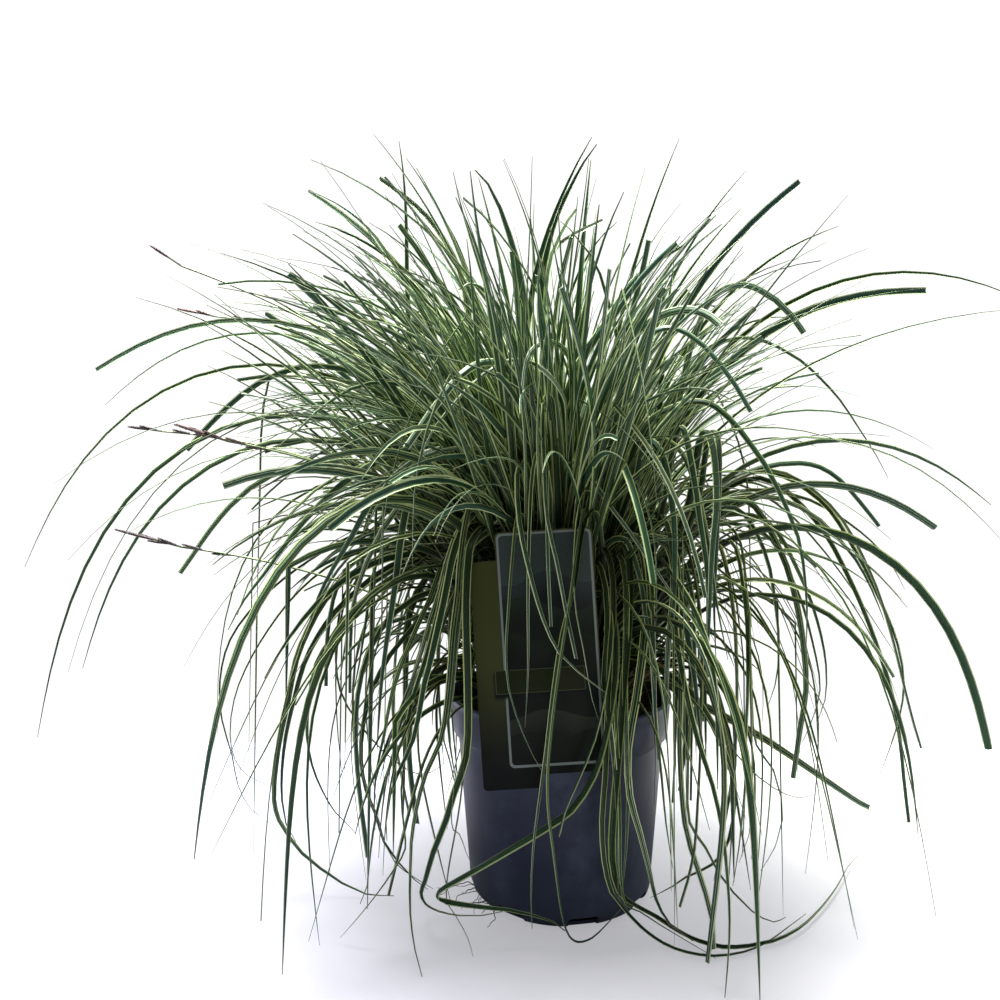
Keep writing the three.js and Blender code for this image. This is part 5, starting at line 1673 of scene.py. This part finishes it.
def make_cutters():
    """All drain holes and foot notches in one mesh."""
    skin = Skin()
    for i in range(DRAIN["holes"]):
        angle = 2 * math.pi * (i + 0.5) / DRAIN["holes"]
        centre = DRAIN["ring_radius"] * np.array([math.cos(angle), math.sin(angle)])
        ends = [(DRAIN["hole_radius"], z) for z in (-DRAIN["hole_cut"], DRAIN["hole_cut"])]
        rings = turned_rings(ends, DRAIN["hole_sides"])
        skin.wrap([[(x + centre[0], y + centre[1], z) for x, y, z in ring] for ring in rings])
    half = DRAIN["notch_width"] / 2
    top = DRAIN["notch_height"]
    round_off = DRAIN["notch_round"]
    outline = [(half, -5), (half, top - round_off)]
    outline += [(half - 0.3 * round_off, top - 0.3 * round_off), (half - round_off, top)]
    outline += [(-y, z) for y, z in reversed(outline)]
    for i in range(DRAIN["notches"]):
        angle = math.radians(DRAIN["first_notch"]) + 2 * math.pi * i / DRAIN["notches"]
        rings = []
        turn = Matrix.Rotation(angle, 3, "Z")
        for side in (-1, 1):
            x = POT["base_radius"] + side * DRAIN["notch_depth"] / 2
            rings.append([tuple(turn @ Vector((x, y, z))) for y, z in outline])
        skin.wrap(rings)
    mesh = bpy.data.meshes.new("cutters")
    mesh.from_pydata(skin.points, [], skin.faces)
    return link(bpy.data.objects.new("cutters", mesh))


def make_pot():
    skin = Skin()
    skin.wrap(turned_rings(pot_profile(), POT["sides"]))
    pot = skin.make("nursery_pot", [pot_material()], ["pot"], sharp=50)
    cut_away(pot, make_cutters())


def pot_material():
    """Matt dark blue-grey plastic, dusty in patches and lighter near its foot, with a fine grain."""
    shader = Shader("pot_plastic", {"Roughness": 0.4, "Specular IOR Level": 0.3})
    place = shader.place()
    dust = shader.noise(place, 14, detail=6, roughness=0.6)
    grain = shader.noise(place, 900, detail=2)
    dark = (0.02, 0.028, 0.056, 1)
    dusty = (0.085, 0.106, 0.165, 1)
    height = shader.node("ShaderNodeSeparateXYZ", {0: place}).outputs[2]
    low = shader.step(height, 0.0, 0.05, 0.5, 0.0)
    share = shader.math("ADD", shader.step(dust, 0.45, 0.75, 0.0, 0.7), low)
    colour = shader.blend(shader.math("MINIMUM", share, 1.0), dark, dusty)
    shader.feed(shader.surface.inputs["Base Color"], colour)
    shader.feed(shader.surface.inputs["Roughness"], shader.step(dust, 0.3, 0.8, 0.3, 0.5))
    shader.bump(grain, 0.12, 0.0003)
    return shader.owner


# ---- Soil ----

SOIL = {"sunk": 0.4, "dip": 1.5, "dip_from": 60, "dip_over": 30, "grid_sides": 96, "gap": 0.35}
LUMPS = [(1.5, 14, 0), (0.8, 5, 3)]  # height, size and level in the noise
CRUMBS = {
    "seed": 3,
    "count": 420,
    "size": (0.7, 2.6),
    "stretch": (0.7, 1.9),
    "lean": (-0.5, 0.5),
    "turn": 6.3,
    "lift": 0.25,  # of its centre above the soil, as a share of its size
    "clear": 4,  # from the pot's wall
    "rough": 0.45,
    "levels": (-0.95, -0.55, 0.1, 0.65, 0.97),  # heights of its rings, as shares of its size
    "sides": 6,
}


def soil_height(x, y):
    """The lumpy surface of the potting soil, which dips a little towards the pot's wall."""
    radius = math.hypot(x, y)
    lumps = sum(height * noise.noise((x / size, y / size, level)) for height, size, level in LUMPS)
    dip = SOIL["dip"] * clamp((radius - SOIL["dip_from"]) / SOIL["dip_over"])
    return SOIL_SURFACE - SOIL["sunk"] - dip + lumps


def make_soil():
    clear = POT["wall"] + SOIL["gap"]
    corner = POT["corner_radius"]
    profile = [
        (pot_outside(0) - clear - corner, POT["floor"] + SOIL["gap"]),
        (pot_outside(corner) - clear, corner + SOIL["gap"]),
        (POT["body_top_radius"] - clear, COLLAR_FOOT + SOIL["gap"]),
        (pot_outside(COLLAR_FOOT + 4) - clear, COLLAR_FOOT + 4),
    ]
    rings = turned_rings(profile, SOIL["grid_sides"])
    edge = pot_outside(SOIL_SURFACE) - clear
    for radius in np.linspace(edge, 2, 40):
        flat = turned_rings([(radius, 0)], SOIL["grid_sides"])[0]
        rings.append([(x, y, soil_height(x, y)) for x, y, _ in flat])
    skin = Skin()
    skin.wrap(rings)
    material = soil_material()
    skin.make("potting_soil", [material], ["soil"], sharp=180)
    make_crumbs(material)


def make_crumbs(material):
    draw = seeded_random(CRUMBS["seed"])
    skin = Skin()
    edge = pot_outside(SOIL_SURFACE) - POT["wall"] - CRUMBS["clear"]
    for _ in range(CRUMBS["count"]):
        radius = edge * math.sqrt(draw())
        angle = 2 * math.pi * draw()
        x = radius * math.cos(angle)
        y = radius * math.sin(angle)
        size = between(draw, *CRUMBS["size"])
        stretch = between(draw, *CRUMBS["stretch"])
        turn = Matrix.Rotation(CRUMBS["turn"] * draw(), 3, "Z")
        turn = turn @ Matrix.Rotation(between(draw, *CRUMBS["lean"]), 3, "X")
        centre = Vector((x, y, soil_height(x, y) + CRUMBS["lift"] * size))
        rings = []
        for level in CRUMBS["levels"]:
            ring = []
            for k in range(CRUMBS["sides"]):
                a = 2 * math.pi * k / CRUMBS["sides"]
                wide = size * math.sqrt(1 - level**2) * (1 + CRUMBS["rough"] * (draw() - 0.5))
                bump = Vector((wide * math.cos(a) * stretch, wide * math.sin(a), size * level))
                ring.append(tuple(centre + turn @ bump))
            rings.append(ring)
        skin.wrap(rings, chance=draw())
    skin.make("soil_crumbs", [material], sharp=30)


def soil_material():
    shader = Shader("peat_soil", {"Roughness": 0.95, "Specular IOR Level": 0.2})
    place = shader.place()
    lumps = shader.noise(place, 160, detail=8, roughness=0.7)
    specks = shader.noise(place, 700, detail=2)
    colour = shader.blend(shader.step(lumps, 0.35, 0.7), (0.012, 0.007, 0.004, 1), (0.07, 0.042, 0.024, 1))
    colour = shader.blend(shader.step(specks, 0.66, 0.74), colour, (0.2, 0.15, 0.09, 1))
    shader.feed(shader.surface.inputs["Base Color"], colour)
    shader.bump(lumps, 0.8, 0.002)
    return shader.owner


# ---- Label ----

LABEL = {
    "centre_x": -23.5,
    "centre_z": 216,
    "front": -98.4,
    "thickness": 1.2,
    "lean": 3.6,
    "strap_width": 18,
    "strap_z": 168,
    "tongue_y": -76,
    "tongue_bottom": 121,
}
PANEL = {"width": 74, "height": 184, "corner": 3.5}
BAND = {"width": 20, "height": 173}
LABEL_FOOT = {"drop": 10, "width": 24}
PLATE_TOP = 6  # how much higher than its middle the panel stands
PLATE_EDGE = [(0.3, 0), (0.08, 0.08), (0, 0.3)]  # inset and depth of the rings that round an edge
STRAP = {
    "bend": 2.4,
    "straight": 6,  # length before the bend that stays straight
    "overlap": 0.1,  # how far it reaches into the plate
    "heights": (140, LABEL["tongue_bottom"] + 5, LABEL["tongue_bottom"] + 0.4),
    "tip": 0.55,  # width of the tongue's tip as a share of the strap's
}
# The strap's section: shares of half its width and of its thickness.
STRAP_SECTION = [(-1, -0.3), (-0.985, -0.5), (0.985, -0.5), (1, -0.3)]
STRAP_SECTION += [(x, -y) for x, y in reversed(STRAP_SECTION)]


def arc_points(x, y, radius, start, end, count=6):
    turns = np.radians(np.linspace(start, end, count + 1))
    return [(x + radius * math.cos(a), y + radius * math.sin(a)) for a in turns]


def label_sides():
    right = PANEL["width"] / 2 + BAND["width"] / 2
    step = right - PANEL["width"]
    top = PANEL["height"] / 2 + PLATE_TOP
    bottom = top - PANEL["height"]
    return {"right": right, "step": step, "left": step - BAND["width"], "top": top, "bottom": bottom}


def label_outline():
    side = label_sides()
    r = PANEL["corner"]
    foot = side["bottom"] - LABEL_FOOT["drop"]
    band_top = foot + BAND["height"]
    points = arc_points(side["right"] - r, side["bottom"] + r, r, -90, 0)
    points += arc_points(side["right"] - r, side["top"] - r, r, 0, 90)
    points += arc_points(side["step"] + r, side["top"] - r, r, 90, 180)
    points += [(side["step"], band_top)]
    points += arc_points(side["left"] + 2 * r, band_top - 2 * r, 2 * r, 90, 180)
    points += arc_points(side["left"] + r, foot + r, r, 180, 270)
    points += arc_points(side["step"] + LABEL_FOOT["width"] - r, foot + r, r, -90, 0)
    points += [(side["step"] + LABEL_FOOT["width"], side["bottom"])]
    return points


def on_plate(a, b, depth):
    """A place on the label's plate from its own coordinates, depth behind the printed face."""
    lean = math.radians(-LABEL["lean"])
    x = LABEL["centre_x"] + a * math.cos(lean) + b * math.sin(lean)
    z = LABEL["centre_z"] - a * math.sin(lean) + b * math.cos(lean)
    return (x, LABEL["front"] + depth, z)


def strap_path():
    """The strap's Y and Z from the plate over the rim and, as the tongue, down into the soil."""
    thick = LABEL["thickness"]
    middle = LABEL["strap_z"] + thick / 2
    bend_y = LABEL["tongue_y"] - STRAP["bend"]
    path = [(LABEL["front"] + thick - STRAP["overlap"], middle), (bend_y - STRAP["straight"], middle)]
    path += arc_points(bend_y, middle - STRAP["bend"], STRAP["bend"], 90, 0)
    for z in STRAP["heights"]:
        path.append((LABEL["tongue_y"], z))
    return path


def make_label():
    """The plate with slightly rounded edges, and one bent strip that is its strap and tongue."""
    outline = np.array(label_outline())
    ahead = np.roll(outline, -1, axis=0) - np.roll(outline, 1, axis=0)
    ahead /= np.linalg.norm(ahead, axis=1, keepdims=True)
    inwards = np.stack([-ahead[:, 1], ahead[:, 0]], axis=1)
    skin = Skin()
    thick = LABEL["thickness"]
    back_edge = [(inset, thick - depth) for inset, depth in reversed(PLATE_EDGE)]
    rings = []
    for inset, depth in PLATE_EDGE + back_edge:
        rings.append([on_plate(a, b, depth) for a, b in outline + inset * inwards])
    skin.wrap(rings[::-1])
    path = strap_path()
    half = LABEL["strap_width"] / 2
    widths = [half] * (len(path) - 1) + [half * STRAP["tip"]]
    strip = []
    for (y, z), (dy, dz), wide in zip(path, directions(path), widths):
        up = np.array([0, -dz, dy])
        centre = np.array([LABEL["centre_x"], y, z])
        ring = []
        for across, rise in STRAP_SECTION:
            ring.append(centre + np.array([across * wide, 0, 0]) + up * rise * thick)
        strip.append(ring)
    skin.wrap(strip[::-1])
    label = skin.make("plant_label", [label_material()], ["label"], sharp=35)
    lay_plate_coordinates(label.data)


def lay_plate_coordinates(mesh):
    """Makes the UV map hold the plate's own coordinates in centimetres. The strap's follow on from them."""
    lean = math.radians(LABEL["lean"])
    uv = []
    for loop in mesh.loops:
        x, y, z = mesh.vertices[loop.vertex_index].co / MM
        right = x - LABEL["centre_x"]
        up = z - LABEL["centre_z"]
        uv.append(0.1 * (right * math.cos(lean) + up * math.sin(lean)))
        uv.append(0.1 * (up * math.cos(lean) - right * math.sin(lean)))
    mesh.uv_layers["UVMap"].data.foreach_set("uv", uv)


# Rounded hills of the label's plain picture: height and swing in centimetres, waves, turn and colour.
HILLS = [
    {"top": 6.2, "swing": 0.5, "waves": 1.1, "turn": 0.4, "colour": (0.036, 0.048, 0.045, 1)},
    {"top": 4.2, "swing": 0.6, "waves": 0.8, "turn": 2.4, "colour": (0.02, 0.03, 0.02, 1)},
    {"top": 1.9, "swing": 0.45, "waves": 1.3, "turn": 4.4, "colour": (0.011, 0.018, 0.009, 1)},
    {"top": -4.1, "swing": 0.4, "waves": 0.9, "turn": 1.2, "colour": (0.024, 0.032, 0.02, 1)},
    {"top": -5.7, "swing": 0.35, "waves": 1.2, "turn": 3.1, "colour": (0.008, 0.012, 0.007, 1)},
]
PRINT = {
    "black": (0.004, 0.005, 0.004, 1),
    "olive": (0.05, 0.058, 0.016, 1),
    "frame": (0.2, 0.23, 0.21, 1),
    "sky": (0.05, 0.07, 0.06, 1),
    "strip_left": (0.012, 0.017, 0.002, 1),
    "strip_right": (0.014, 0.016, 0.003, 1),
    "strip_edge": (0.05, 0.06, 0.025, 1),
}
# Boxes of the print in centimetres: left, right, bottom, top and the corners' radius.
STRIP_SHADOW = (-3.4, 3.55, -2.75, -0.75, 0.2)
STRIP_EDGE = (-3.3, 3.5, -2.4, -0.6, 0.05)
STRIP = (-3.22, 3.42, -2.34, -0.66, 0.05)
# The framed panel: how far the frame and the picture lie inside the plate's edge, and their feet and corners.
FRAME = {"inset": 0.1, "bottom": -8.0, "corner": 0.4}
VIEW = {"inset": 0.28, "bottom": -7.8, "corner": 0.3}


def label_material():
    """A dark print: an olive band, a framed panel with plain rounded hills, and a bare name strip."""
    shader = Shader("label_print", {"Roughness": 0.4, "Specular IOR Level": 0.08})
    a, b = shader.uv()
    side = {name: value / 10 for name, value in label_sides().items()}

    def outside(left, right, bottom, top, corner):
        """The distance, in centimetres, outside a rounded box of the plate; it is negative inside."""
        across = shader.math("ABSOLUTE", shader.math("SUBTRACT", a, (left + right) / 2))
        upwards = shader.math("ABSOLUTE", shader.math("SUBTRACT", b, (bottom + top) / 2))
        x = shader.math("SUBTRACT", across, (right - left) / 2 - corner)
        y = shader.math("SUBTRACT", upwards, (top - bottom) / 2 - corner)
        free_x = shader.math("MAXIMUM", x, 0.0)
        free_y = shader.math("MAXIMUM", y, 0.0)
        square_x = shader.math("MULTIPLY", free_x, free_x)
        squares = shader.math("MULTIPLY_ADD", free_y, free_y, square_x)
        flat_part = shader.math("MINIMUM", shader.math("MAXIMUM", x, y), 0.0)
        return shader.math("SUBTRACT", shader.math("ADD", shader.math("SQRT", squares), flat_part), corner)

    def laid(colour, box, over, edge=0.01):
        """over with a box of a colour printed on it."""
        return shader.blend(shader.step(outside(*box), -edge, edge, 1.0, 0.0), over, colour)

    grain = shader.noise(shader.combine(a, b), 9, detail=4)
    hills = PRINT["sky"]
    for hill in HILLS:
        wave = shader.math("SINE", shader.math("MULTIPLY_ADD", a, hill["waves"], hill["turn"]))
        below = shader.math("SUBTRACT", shader.math("MULTIPLY_ADD", wave, hill["swing"], hill["top"]), b)
        tone = shader.blend(shader.step(below, 0.0, 2.2, 0.0, 0.7), hill["colour"], PRINT["black"])
        hills = shader.blend(shader.step(below, -0.04, 0.04), hills, tone)
    hills = shader.blend(shader.step(grain, 0.3, 0.8, 0.0, 0.35), hills, PRINT["black"])
    left = side["step"]
    colour = shader.blend(shader.step(b, -8.4, 1.0), PRINT["black"], PRINT["olive"])
    for tone, box in ((PRINT["frame"], FRAME), (hills, VIEW)):
        inset = box["inset"]
        bounds = (left + inset, side["right"] - inset, box["bottom"], side["top"] - inset, box["corner"])
        colour = laid(tone, bounds, colour)
    in_panel = shader.step(a, left - 0.02, left + 0.02)
    foot = shader.math("MULTIPLY", shader.step(b, -8.25, -8.2, 1.0, 0.0), in_panel)
    colour = shader.blend(foot, colour, PRINT["black"])
    colour = laid(PRINT["black"], STRIP_SHADOW, colour, 0.2)
    colour = laid(PRINT["strip_edge"], STRIP_EDGE, colour)
    strip = shader.blend(shader.step(a, 0.5, 3.2), PRINT["strip_left"], PRINT["strip_right"])
    colour = laid(strip, STRIP, colour)
    shader.feed(shader.surface.inputs["Base Color"], colour)
    smear = shader.noise(shader.place(), 60, detail=4)
    shader.feed(shader.surface.inputs["Roughness"], shader.step(smear, 0.3, 0.8, 0.34, 0.5))
    return shader.owner


# ---- Flower heads ----

FLOWER = {
    "spike": 0.62,  # length of the end spikelet as a share of the head's
    "radius": 1.45,
    "stalk": 0.7,  # length of the stalk as a share of the head's
    "stalk_tip": 0.4,  # its radius at the tip as a share of the stem's width
    "lateral_length": 17,
    "lateral_radius": 1.15,
    "lateral_tilt": 7,
    "lateral_turn": 35,
    "lateral_from": 2,
    "lateral_part": 0.4,  # share of the head along which the lateral spikelets sit
    "lateral_tone": 0.7,
    "lower_tone": 0.5,
}
SPINDLE = {"start": 0.14, "part": 0.78, "least": 0.05, "power": 0.8}
CORE = {"from": 0.02, "to": 0.97, "rings": 8, "sides": 6, "share": 0.75}
SCALE = {
    "length": 3.2,
    "length_share": (0.85, 1.15),
    "shrink": 0.3,  # how much shorter the last scale is, as a share
    "width": 0.2,
    "thickness": 0.14,
    "first": 0.03,
    "part": 0.9,
    "turn": 2.4,
    "each_millimetre": 1.7,
    "foot": 0.6,  # distance of a scale's foot from the axis, as a share of the radius there
    "lift": 0.3,
}
# A scale from foot to tip: the share of its length, of its width, and how far it lifts off the core.
SCALE_SHAPE = ((0, 0.5, 0.0), (0.35, 1.0, 0.5), (0.75, 0.6, 0.6), (1.0, 0.08, 0.55))
FLOWER_TONES = {
    "purple": (0.07, 0.05, 0.058, 1),
    "pink": (0.3, 0.165, 0.14, 1),
    "dark": (0.05, 0.035, 0.035, 1),
    "straw": (0.36, 0.27, 0.19, 1),
    "stalk": (0.06, 0.09, 0.03, 1),
}


def spindle_radius(share, radius):
    """The radius of a spikelet, which swells and narrows as a part of half a sine wave does."""
    wave = math.sin(math.pi * (SPINDLE["start"] + SPINDLE["part"] * share))
    return radius * max(wave, SPINDLE["least"]) ** SPINDLE["power"]


def add_spindle(skin, foot, turn, length, radius, draw, tone):
    """A spikelet: a core with rows of overlapping pointed scales. turn takes +Z to its direction."""

    def placed(ring):
        return [tuple(foot + turn @ Vector(point)) for point in ring]

    x = np.array([1, 0, 0])
    y = np.array([0, 1, 0])
    rings = []
    for share in np.linspace(CORE["from"], CORE["to"], CORE["rings"]):
        wide = CORE["share"] * spindle_radius(share, radius)
        rings.append(placed(ring_of(np.array([0, 0, length * share]), x, y, wide, CORE["sides"])))
    skin.wrap(rings, chance=draw(), dry=tone)
    count = int(length * SCALE["each_millimetre"])
    for i in range(count):
        share = SCALE["first"] + SCALE["part"] * i / count
        angle = SCALE["turn"] * i
        out = np.array([math.cos(angle), math.sin(angle), 0])
        side = np.array([-math.sin(angle), math.cos(angle), 0])
        size = SCALE["length"] * between(draw, *SCALE["length_share"]) * (1 - SCALE["shrink"] * share)
        base = SCALE["foot"] * spindle_radius(share, radius)
        rings = []
        for step, wide, rise in SCALE_SHAPE:
            centre = out * (base + SCALE["lift"] * rise * radius)
            centre[2] = length * share + size * step
            half = SCALE["width"] * size * wide
            thin = SCALE["thickness"]
            ring = [centre + side * half, centre + out * thin, centre - side * half, centre - out * thin]
            rings.append(placed(ring))
        skin.wrap(rings, chance=draw(), dry=tone)


def at_length_back(path, length):
    """The place and the direction at a length before the end of a path."""
    for before, after in zip(path[-2::-1], path[::-1]):
        step = (after - before).length
        if step >= length:
            return after.lerp(before, length / step), (after - before).normalized()
        length -= step
    return path[0], (path[1] - path[0]).normalized()


def make_flower_head(skin, flower, draw):
    up = Vector((0, 0, 1))
    turn = up.rotation_difference(flower["along"]).to_matrix()
    length = flower["length"]
    spike = FLOWER["spike"] * length
    tone = flower["tone"]
    stalk = [flower["place"] + flower["along"] * z for z in np.linspace(0, FLOWER["stalk"] * length, 6)]
    radii = np.linspace(STEM["width"] / 2, FLOWER["stalk_tip"] * STEM["width"], len(stalk))
    add_tube(skin, stalk, radii, chance=draw(), dry=-1)
    spike_foot = stalk[0] + flower["along"] * (length - spike)
    add_spindle(skin, spike_foot, turn, spike, FLOWER["radius"], draw, tone)
    small = (FLOWER["lateral_length"], FLOWER["lateral_radius"])
    for k in range(flower["laterals"]):
        lean = math.radians(FLOWER["lateral_tilt"]) * (1 if k % 2 == 0 else -1)
        heading = Matrix.Rotation(math.radians(FLOWER["lateral_turn"] * k), 3, "Z")
        lateral = turn @ heading @ Matrix.Rotation(lean, 3, "Y")
        height = FLOWER["lateral_from"] + FLOWER["lateral_part"] * length * k / flower["laterals"]
        foot = stalk[0] + flower["along"] * height
        add_spindle(skin, foot, lateral, *small, draw, FLOWER["lateral_tone"] * tone)
    for k, back in enumerate(flower["below"]):
        foot, along = at_length_back(flower["stem"], back)
        lean = Matrix.Rotation(math.radians(FLOWER["lateral_tilt"]) * (-1) ** k, 3, "Y")
        lower = up.rotation_difference(along).to_matrix() @ lean
        add_spindle(skin, foot, lower, *small, draw, FLOWER["lower_tone"] * tone)


def make_flower_heads(material):
    draw = seeded_random(21)
    for i, flower in enumerate(FLOWERS):
        skin = Skin()
        make_flower_head(skin, flower, draw)
        skin.make(f"sedge_flower_{i + 1}", [material], [f"flower_head_{i + 1}"], sharp=50)


def flower_material():
    """Purple-grey to pinkish brown scales with a straw edge, on a green stalk."""
    shader = Shader("flower_scales", {"Roughness": 0.6})
    around, along = shader.uv()
    chance = shader.value("chance")
    tone = shader.value("dry")
    scales = shader.blend(tone, FLOWER_TONES["purple"], FLOWER_TONES["pink"])
    darkness = shader.math("MULTIPLY", shader.chance(chance, 1.0), 0.5)
    scales = shader.blend(darkness, scales, FLOWER_TONES["dark"])
    towards_tip = shader.step(shader.value("share"), 0.6, 1.0, 0.0, 0.5)
    scales = shader.blend(towards_tip, scales, FLOWER_TONES["straw"])
    stalk = shader.step(tone, -0.5, -0.4, 1.0, 0.0)
    shader.feed(shader.surface.inputs["Base Color"], shader.blend(stalk, scales, FLOWER_TONES["stalk"]))
    streak = shader.noise(shader.combine(shader.math("MULTIPLY", around, 12.0), along), 2.0, detail=2)
    shader.bump(streak, 0.3, 0.0003)
    return shader.owner


# ---- Roots that have grown out of the pot's base ----

ROOTS = {
    "seed": 8,
    "count": 11,
    "from": -168,
    "to": -122,
    "start_radius": 70,
    "height": 3.2,
    "highest": 9,
    "thickness": (0.28, 0.55),
    "tip": 0.4,  # thickness of its tip as a share
    "heading": (-1.1, 1.1),  # away from the pot's axis, in radians
    "fewest": 8,  # steps
    "more": 14,
    "step": 2.4,
    "turn": (-0.7, 0.7),
    "drop": (-0.7, 0.5),
    "sides": 5,
}
ROOT_TONES = {"dark": (0.06, 0.038, 0.024, 1), "light": (0.16, 0.1, 0.06, 1), "grain": (0.03, 0.02, 0.014, 1)}


def make_roots():
    """Thin wiry roots that come out between two foot notches and lie on the floor."""
    draw = seeded_random(ROOTS["seed"])
    skin = Skin()
    for _ in range(ROOTS["count"]):
        azimuth = math.radians(between(draw, ROOTS["from"], ROOTS["to"]))
        heading = azimuth + between(draw, *ROOTS["heading"])
        place = np.array([math.cos(azimuth), math.sin(azimuth), 0]) * ROOTS["start_radius"]
        place[2] = ROOTS["height"]
        path = [place]
        thick = between(draw, *ROOTS["thickness"])
        steps = ROOTS["fewest"] + int(ROOTS["more"] * draw())
        for _ in range(steps):
            heading += between(draw, *ROOTS["turn"])
            drop = between(draw, *ROOTS["drop"])
            step = ROOTS["step"]
            place = place + np.array([step * math.cos(heading), step * math.sin(heading), drop])
            place[2] = clamp(place[2], thick, ROOTS["highest"])
            path.append(place)
        radii = np.linspace(thick, ROOTS["tip"] * thick, len(path))
        add_tube(skin, path, radii, ROOTS["sides"], chance=draw())
    skin.make("base_roots", [root_material()])


def root_material():
    shader = Shader("root_bark", {"Roughness": 0.8})
    grain = shader.noise(shader.place(), 900, detail=3)
    lightness = shader.chance(shader.value("chance"), 1.0)
    tone = shader.blend(lightness, ROOT_TONES["dark"], ROOT_TONES["light"])
    shader.feed(shader.surface.inputs["Base Color"], shader.blend(grain, tone, ROOT_TONES["grain"]))
    shader.bump(grain, 0.4, 0.0003)
    return shader.owner


# ---- Scene ----

make_camera()
make_world()
make_key_light()
make_floor()
leaf_materials = [leaf_material(), sheath_material()]
make_tufts(leaf_materials)
make_seen_leaves(leaf_materials)
make_flower_heads(flower_material())
make_pot()
make_soil()
make_label()
make_roots()
bpy.context.scene.view_settings.view_transform = "Standard"
